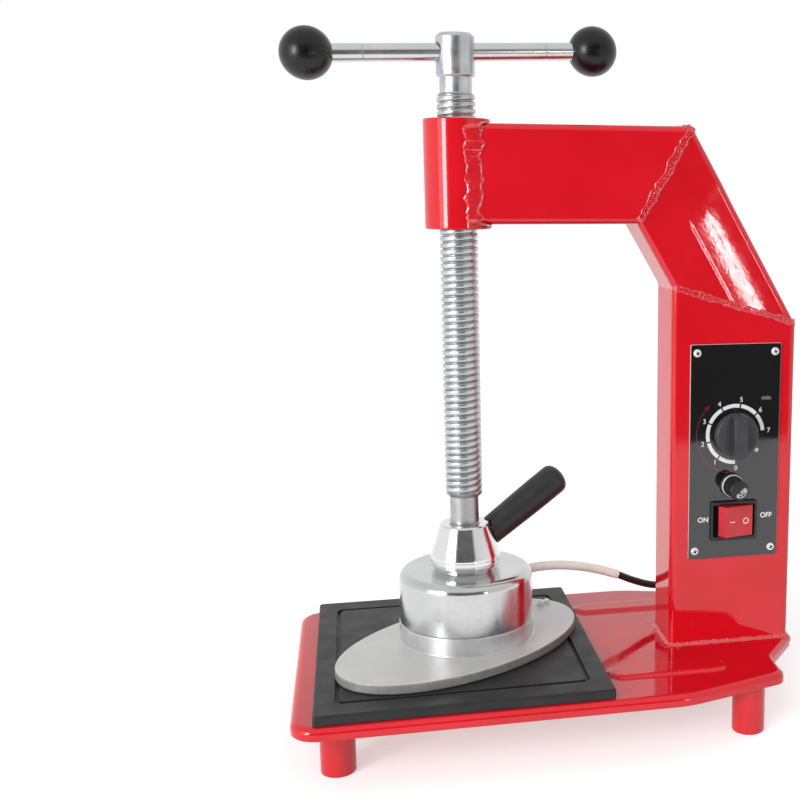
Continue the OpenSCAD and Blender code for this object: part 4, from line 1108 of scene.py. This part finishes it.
def makePanel():
    p, d = panel, dial
    place = atPanel(p["x"], -postFace, p["z"])
    outline = boxOutline(p["width"], p["height"], p["cornerRadius"])
    sheet = prism("controlPanel", outline, p["gap"], p["thick"], p["edge"], place)
    dress(sheet, "panelBlack", "frame", "black_panel", "control_panel")
    secondFinish(sheet, "panelEdge", lambda face: face.normal.y >= p["frontTilt"])
    top, centre = p["thick"] + p["inkLift"], d["centre"]

    def printed(name, letters, size, spot, bold=0.0):
        return word(name, letters, size, place @ shift(*spot, top + inkThick / 2), bold)

    marks = []
    minuteTurns = [d["zeroTurn"] + n * d["minuteTurn"] for n in range(d["minutes"] + 1)]
    for n, (start, end) in enumerate(zip(minuteTurns, minuteTurns[1:])):
        bar = clockBand(d["ringInner"], d["ringOuter"], start + d["barGap"], end - d["barGap"], 18, centre)
        marks.append(thinMark("dialBar%d" % n, bar, top, place))
    dot = ovalLine(d["dotSize"], d["dotSize"], 32, *clockSpot(d["dotRadius"], d["dotTurn"], centre))
    marks.append(thinMark("dialDot", dot, top, place))
    for n, degrees in enumerate(minuteTurns):
        spot = clockSpot(d["numberRadius"], degrees, centre)
        marks.append(printed("number%d" % n, str(n), d["numberSize"], spot, d["numberBold"]))
    for name, letters, spot in (("wordOn", "ON", p["onPlace"]), ("wordOff", "OFF", p["offPlace"])):
        marks.append(printed(name, letters, p["wordSize"], spot, p["wordBold"]))
    dress(joinPieces("panelMarks", marks), "inkWhite", "frame", "black_panel")
    dress(printed("wordMin", "min", p["minSize"], p["minPlace"]), "inkGrey", "frame", "black_panel")
    r, half = d["arcRadius"], d["arcWidth"] / 2
    line = clockBand(r - half, r + half, d["arcStart"], d["arcEnd"], 60, centre)
    tip = [clockSpot(r + side, d["arcEnd"] + more, centre) for side, more in d["tip"]]
    arrow = [thinMark("arcLine", line, top, place), thinMark("arcTip", tip, top, place)]
    dress(joinPieces("dialArrow", arrow), "inkRed", "frame", "black_panel")


panelScrew = {"radius": 3.15, "rise": 2.0, "sunk": 0.4, "slotHalf": 1.9, "slotWide": 0.5, "slotDeep": 1.3,
    "slotTaper": (0.6, 0.7), "turns": (20, 110)}


def makePanelScrews():
    p, s = panel, panelScrew
    r, rise, sunk, w, h = s["radius"], s["rise"], s["sunk"], s["slotHalf"], s["slotWide"]
    profile = roundedLine([(0, -sunk, 0), (r, -sunk, 0), (r, 0.6, 0.3), (r * 0.78, rise - 0.25, 1.0),
        (0, rise, 0)])
    screws = lathe("panelScrews", profile, Matrix.Identity(4), turns=40)
    slot = [(-w, -h), (w, -h), (w, h), (-w, h)]
    slotFloor = [(x * s["slotTaper"][0], y * s["slotTaper"][1]) for x, y in slot]
    cutters = []
    for i, degrees in enumerate(s["turns"]):
        low = ringAt(slotFloor, rise - s["slotDeep"], turn(degrees, "Z"))
        cutters.append(loft("slotCutter%d" % i, [low, ringAt(slot, rise + 0.4, turn(degrees, "Z"))]))
    carve(screws, cutters)
    # faces deep in the slots are marked for the painted recess shade
    recess = []
    for face in screws.data.polygons:
        centre = face.center / mm
        away = math.hypot(centre.x, centre.y)
        recess.append(away < w + 0.1 and centre.z < rise - 0.14 - 0.1 * away)
    places = [(x, y) for x in (-p["screwX"], p["screwX"]) for y in (-p["screwY"], p["screwY"])]
    copyAt(screws, [onPanel(p["x"] + x, p["z"] + y) for x, y in places])
    dress(screws, "brightZinc", "frame", "zinc_steel", "panel_screws")
    # the slot faces take painted shade
    secondFinish(screws, "recessShade", lambda face: recess[face.index % len(recess)])


# The skirt's line is (radius, height), from its back to the dished front
knob = {"x": 143.7, "back": -28.2, "z": 218.4, "flutes": 40, "fluteDeep": 0.35, "fluteLow": 0.5,
    "fluteHigh": 6.5,
    "skirt": [(10.2, 0.0), (16.6, 0.0), (17.3, 0.2), (17.7, 0.8), (17.7, 1.2), (17.5, 3.5), (17.25, 5.6),
        (17.1, 6.2), (16.7, 6.8), (16.1, 7.15), (15.4, 7.2), (12.0, 7.0), (6.0, 6.8), (1.0, 6.8)],
    "barWidth": 10.6, "barRadius": 16.85, "barLow": 5.0, "barHigh": 16, "barEdge": 1.3}


def makeKnob():
    k = knob
    place = atPanel(k["x"], k["back"], k["z"])
    skirt = fluted("knobSkirt", k["skirt"], k["flutes"], k["fluteDeep"], k["fluteLow"], k["fluteHigh"], place)
    arc = math.degrees(math.asin(k["barWidth"] / 2 / k["barRadius"]))
    tops = [clockSpot(k["barRadius"], degrees) for degrees in evenly(arc, -arc, 5)]
    outline = tops + [(-x, -y) for x, y in tops]
    bar = prism("knobBar", outline, k["barLow"], k["barHigh"], k["barEdge"], place)
    dress(soften(joinPieces("timerKnob", [skirt, bar])), "plasticGrey", "timer", "grey_plastic", "timer_knob")


fuse = {"x": 142, "z": 177.5, "flange": 10, "flangeThick": 2.5, "barrel": 6.25, "barrelLong": 30,
    "barrelFloor": 2,
    "bore": 2.9, "ring": 9, "ringInner": 8.05, "ringThick": 2, "ringGap": 0.02, "gap": 0.4, "capRadius": 7.7,
    "capOut": 18, "ribs": 28, "ribDeep": 0.28, "ribLow": 3.8, "ribHigh": 16.5,
    "capFoot": [(-0.5, 0.0), (-0.1, 0.3), (0, 0.8), (0, 3.6), (0, 4.0)],
    "capEdge": [(0, -1.8), (-0.2, -1.1), (-0.7, -0.4), (-1.4, -0.02), (-2.0, 0)], "capMiddle": 0.6,
    "spigot": [(0, -5), (2.4, -5), (2.6, -4.8), (2.6, 0.4), (0, 0.4)],
    "markTurn": 42, "wordSize": 4.4, "wordBold": 0.05, "wordDown": -2.2, "arcOuter": 5.4, "arcInner": 4.9}


def makeFuse():
    f = fuse
    place = onPanel(f["x"], f["z"])
    flange, barrel, bore, long = f["flange"], f["barrel"], f["bore"], f["barrelLong"]
    thick, floor = f["flangeThick"], f["barrelFloor"] - long
    profile = roundedLine([(bore, thick, 0.2), (bore, floor, 0), (0, floor, 0), (0, -long, 0),
        (barrel, -long, 0.5),
        (barrel, 0, 0), (flange, 0, 0.2), (flange, thick, 0.9)], closed=True)
    holder = lathe("fuseHolder", profile, place, turns=64, closed=True)
    dress(holder, "plasticBlack", "frame", "black_plastic", "fuse_holder")
    low, high, inner, outer = thick + f["ringGap"], thick + f["ringThick"], f["ringInner"], f["ring"]
    ring = roundedLine([(inner, low, 0), (outer, low, 0.1), (outer, high, 0.5), (inner, high, 0.4)],
        closed=True)
    dress(lathe("fuseRing", ring, place, turns=64, closed=True), "brightZinc", "frame", "zinc_steel",
        "fuse_ring")
    place = place @ shift(0, 0, thick + f["gap"])
    r, out = f["capRadius"], f["capOut"]
    line = [(r + dr, z) for dr, z in f["capFoot"]] + [(r + dr, out + dz) for dr, dz in f["capEdge"]]
    line.append((f["capMiddle"], out))
    body = fluted("capBody", line, f["ribs"], f["ribDeep"], f["ribLow"], f["ribHigh"], place)
    spigot = lathe("capSpigot", f["spigot"], place, turns=40)
    dress(soften(joinPieces("fuseCap", [body, spigot])), "plasticBlack", "cap", "black_plastic", "fuse_cap")
    face = place @ turn(f["markTurn"], "Z")
    label = word("capWord", "FUSE", f["wordSize"], face @ shift(0, f["wordDown"], out + 0.03), f["wordBold"])
    under = thinMark("capArc", clockBand(f["arcOuter"], f["arcInner"], 250, 110, 20), out + 0.01, face)
    dress(joinPieces("fuseMark", [label, under]), "inkWhite", "cap", "black_plastic")


# The bezel's outer and inner lines are (added to both sides, corner radius, height)
rocker = {"x": 143.7, "z": 149, "pivot": -18, "rest": 12, "bezelWidth": 38.4, "bezelHeight": 32, "bezel": 2.5,
    "outerLine": [(0, 1.6, -1.1), (-0.3, 1.6, -0.5), (-0.9, 1.6, -0.12), (-1.6, 1.4, 0)],
    "innerLine": [(1.2, 0.9, 0), (0.4, 0.8, -0.25), (0, 0.7, -0.7)],
    "innerWidth": 33.8, "innerHeight": 25.4, "innerRadius": 0.7, "deep": 12, "backWide": 1.6,
    "backRadius": 0.9,
    "shade": 0.8, "height": 24.8, "faceHalf": 12, "face": 15.4, "dish": 0.6, "dishRadius": 30, "edge": 0.9,
    "footHalf": 15.2, "foot": 8.4, "pin": 4, "markX": 6.0, "markThick": 0.06, "dash": (2.3, 0.35),
    "ring": 2.5,
    "ringInner": 0.74}


def makeBezel():
    r = rocker
    place = onPanel(r["x"], r["z"])
    w, h, b = r["bezelWidth"], r["bezelHeight"], r["bezel"]
    innerW, innerH, deep = r["innerWidth"], r["innerHeight"], r["deep"]
    steps = [(w, h, r["outerLine"][0][1], 0.02)]
    steps += [(w + more, h + more, radius, b + z) for more, radius, z in r["outerLine"]]
    steps += [(innerW + more, innerH + more, radius, b + z) for more, radius, z in r["innerLine"]]
    steps += [(innerW, innerH, r["innerRadius"], -deep),
        (innerW + r["backWide"], innerH + r["backWide"], r["backRadius"], -deep)]
    rings = [ringAt(boxOutline(wide, tall, radius), z, place) for wide, tall, radius, z in steps]
    bezel = loft("rockerBezel", rings, closed=True)
    # a thin dark sheet at the floor of the opening: painted shade
    floor = thinMark("rockerShadeSheet", boxOutline(innerW, innerH, r["innerRadius"]), 0.01, place, 0.05)
    dress(bezel, "plasticBlack", "frame", "black_plastic", "rocker_frame")
    mouth = -postFace - panel["thick"] - b + r["shade"]

    # faces inside the bezel's mouth take painted shade
    def inside(face):
        centre = face.center / mm
        return centre.y > mouth and abs(centre.x - r["x"]) < innerW / 2 + 0.1

    secondFinish(bezel, "recessShade", inside)
    dress(floor, "recessShade", "frame", "black_plastic")


def makeRocker():
    r = rocker
    makeBezel()
    tilt = shift(r["x"], r["pivot"], r["z"]) @ turn(r["rest"], "Z")
    half, face, low, foot = r["faceHalf"], r["face"], r["face"] - r["dish"], r["footHalf"]
    outline = roundedLine([(-half, -face, 1.0), (0, -low, r["dishRadius"]), (half, -face, 1.0),
        (foot, -r["foot"], 0.8), (r["pin"], r["pin"], 0.6), (-r["pin"], r["pin"], 0.6),
        (-foot, -r["foot"], 0.8)],
        closed=True)
    button = prism("rockerButton", outline, -r["height"] / 2, r["height"] / 2, r["edge"], tilt)
    dress(button, "rockerRed", "rocker", "rocker_red", "rocker_button")
    slope = math.degrees(math.atan2(r["dish"], half))
    deep = -low - r["dish"] * r["markX"] / half - 0.02

    def markPlace(side):
        return tilt @ shift(side * r["markX"], deep, 0) @ turn(90, "X") @ turn(-side * slope, "Y")

    (w, h), thick = r["dash"], r["markThick"]
    dash = thinMark("markOn", [(-w, -h), (w, -h), (w, h), (-w, h)], 0, markPlace(-1), thick)
    outer = ovalLine(r["ring"], r["ring"], 40)
    inner = [(x * r["ringInner"], y * r["ringInner"]) for x, y in outer]
    lines = ((outer, 0), (outer, thick), (inner, thick), (inner, 0))
    ring = loft("markOff", [ringAt(line, z, markPlace(1)) for line, z in lines], closed=True)
    dress(joinPieces("rockerMarks", [dash, ring]), "inkWhite", "rocker", "rocker_red")


glands = {"lead": {"x": 146.5, "z": 150, "width": 16, "length": 14, "bore": 3.0, "thread": 5.5,
    "node": "lead_gland"},
    "mains": {"x": 169, "z": 77, "width": 20, "length": 18, "bore": 4.0, "thread": 7.0,
        "node": "mains_gland"}}
glandShape = {"nut": 0.4, "shoulder": 0.2, "taper": 0.72, "tail": 7}


def makeGlands():
    s = glandShape
    for name, g in glands.items():
        place = atBack(g["x"], g["z"])
        r, bore, thread, high, tail = g["width"] / 2, g["bore"], g["thread"], g["length"], -s["tail"]
        corner = r / math.cos(math.pi / 6)
        hexagon = roundedLine([(x, y, 1.0) for x, y in ovalLine(corner, corner, 6)], closed=True)
        nut = prism(name + "Hexagon", hexagon, 0.02, high * s["nut"], 0.5, place)
        low = high * s["nut"] - 0.1
        profile = roundedLine([(bore, low, 0), (r, low, 0.2), (r, low + high * s["shoulder"], 0.8),
            (r * s["taper"], high, 1.0), (bore, high, 0.4)], closed=True)
        cap = lathe(name + "Cap", profile, place, turns=64, closed=True)
        profile = roundedLine([(bore, tail, 0.2), (thread, tail, 0.4), (thread, 0.1, 0), (bore, 0.1, 0)],
            closed=True)
        inside = lathe(name + "Thread", profile, place, turns=48, closed=True)
        carve(nut, [rod(name + "Cutter", bore, -20, 40, place, 48)])
        gland = soften(joinPieces(name + "Gland", [nut, cap, inside]))
        dress(gland, "plasticBlack", "frame", "black_plastic", g["node"])


makePanel()
makePanelScrews()
makeKnob()
makeFuse()
makeRocker()
makeGlands()
print("control panel made")


# Inner pieces keep their solids and take a finish
innerFinishes = {
    "chromePlate": ["thrust_ball"], "plasticGrey": ["timer_body"], "plasticBlack": ["fuse_nut"],
    "zincPlate": ["timer_nut", "timer_shaft", "pressure_plate", "clamp_screws", "socket_stud", "socket_nut",
        "handle_stud"],
    "brassBare": ["rocker_terminals", "fuse_ends"], "clearGlass": ["fuse_glass"],
    "ceramicCream": ["terminal_block", "thermostat"], "elementBrown": ["heating_element"],
    "micaTan": ["mica_discs"],
}
for finishName, nodeNames in innerFinishes.items():
    for nodeName in nodeNames:
        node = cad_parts[nodeName]
        node.data.materials.clear()
        node.data.materials.append(looks[finishName])
print("inner pieces finished")


# Stage: a pale table that ends behind the camera, two soft suns, three soft boxes and a white surround
stage = {
    "tableFront": -0.98, "tableBack": 9.0, "tableSide": 9.0, "tableColour": 0.72, "tableRough": 0.9,
    "tableGlow": 0.50, "surroundLight": 0.50,
    # name, place, spread, strength
    "suns": [("keySun", (-0.45, -0.70, 0.55), 34, 1.08), ("fillSun", (0.80, 0.30, 0.55), 50, 0.5)],
    # name, place, aim, width and height, power, lean
    "softBoxes": [("stripLamp", (1.165, -2.34, 0.32), (0.13, 0, 0.35), (0.075, 0.34), 2.3, 30),
        ("windowLamp", (-2.20, -1.30, 0.75), (0, 0, 0.30), (1.2, 1.4), 9.0, 0),
        ("edgeLamp", (-1.88, -1.575, 0.70), (0, 0, 0.30), (0.56, 1.1), 24.0, 0)],
    # how bright the room looks in a reflection, going round from the left past the operator to the right
    "room": [(0.135, 0.95), (0.155, 0.10), (0.32, 0.10), (0.345, 0.75), (0.52, 0.90), (0.56, 1.0)],
    "zenithLow": 0.34, "zenithHigh": 0.60, "zenithTone": 0.85,
}


def seenRays(tree):
    rays = addNode(tree, "LightPath", {}).outputs
    return rays["Is Glossy Ray"], sums(tree, "MAXIMUM", rays["Is Camera Ray"], rays["Is Transmission Ray"])


def makeTable():
    s = stage
    side, front, back, tone = s["tableSide"], s["tableFront"], s["tableBack"], s["tableColour"]
    mesh = bpy.data.meshes.new("table")
    mesh.from_pydata([(-side, front, 0), (side, front, 0), (side, back, 0), (-side, back, 0)], [],
        [(0, 1, 2, 3)])
    look, tree, shader = newLook("paleTable")
    plugIn(tree, shader, {"Base Color": (tone, tone, tone, 1), "Roughness": s["tableRough"],
        "Specular IOR Level": 0.0})
    shiny, clear = seenRays(tree)
    strength = sums(tree, "MULTIPLY", sums(tree, "MAXIMUM", shiny, clear), s["tableGlow"])
    glow = addNode(tree, "Emission", {"Strength": strength})
    both = addNode(tree, "AddShader", {0: shader.outputs["BSDF"], 1: glow.outputs["Emission"]})
    plugIn(tree, tree.nodes["Material Output"], {"Surface": both.outputs["Shader"]})
    mesh.materials.append(look)
    placed("table", mesh)


def makeLamp(name, kind, place, aim):
    lamp = placed(name, bpy.data.lights.new(name, kind))
    lamp.location = place
    lamp.rotation_euler = (Vector(aim) - Vector(place)).to_track_quat("-Z", "Y").to_euler()
    return lamp


def makeLamps():
    for name, place, spread, strength in stage["suns"]:
        sun = makeLamp(name, "SUN", place, (0, 0, 0))
        sun.data.angle, sun.data.energy = math.radians(spread), strength
        sun.visible_glossy = False  # reflections show the soft boxes and the room instead
    for name, place, aim, size, power, lean in stage["softBoxes"]:
        box = makeLamp(name, "AREA", place, aim)
        box.rotation_euler.rotate_axis("Z", math.radians(lean))
        box.data.shape, box.data.energy = "RECTANGLE", power
        box.data.size, box.data.size_y = size


# The surround is white to the camera, dark towards the operator in reflections, and softer as light
def makeWorld():
    world = bpy.data.worlds.new("softStudio")
    bpy.context.scene.world = world
    world.use_nodes = True
    tree = world.node_tree
    tree.nodes.remove(tree.nodes["Background"])

    def glow(strength, colour=(1, 1, 1, 1)):
        return addNode(tree, "Background", {"Color": colour, "Strength": strength}).outputs["Background"]

    def mixed(share, first, second):
        return addNode(tree, "MixShader", {"Fac": share, 1: first, 2: second}).outputs["Shader"]

    place = addNode(tree, "TexCoord", {})
    split = addNode(tree, "SeparateXYZ", {"Vector": place.outputs["Generated"]}).outputs
    around = sums(tree, "ARCTAN2", split["Y"], split["X"])
    share = addNode(tree, "MapRange", {"Value": around, "From Min": -math.pi, "From Max": math.pi})
    room = addNode(tree, "ValToRGB", {"Fac": share.outputs["Result"]})
    for end in room.color_ramp.elements:
        end.color = (1, 1, 1, 1)
    for spot, tone in stage["room"]:
        room.color_ramp.elements.new(spot).color = (tone, tone, tone, 1)
    overhead = addNode(tree, "MapRange", {"Value": split["Z"], "From Min": stage["zenithLow"],
        "From Max": stage["zenithHigh"]})
    shiny, clear = seenRays(tree)
    reflected = mixed(overhead.outputs["Result"], glow(1.0, room.outputs["Color"]), glow(stage["zenithTone"]))
    lit = mixed(shiny, glow(stage["surroundLight"]), reflected)
    plugIn(tree, tree.nodes["World Output"], {"Surface": mixed(clear, lit, glow(1.0))})


makeTable()
makeLamps()
makeWorld()
print("stage set")
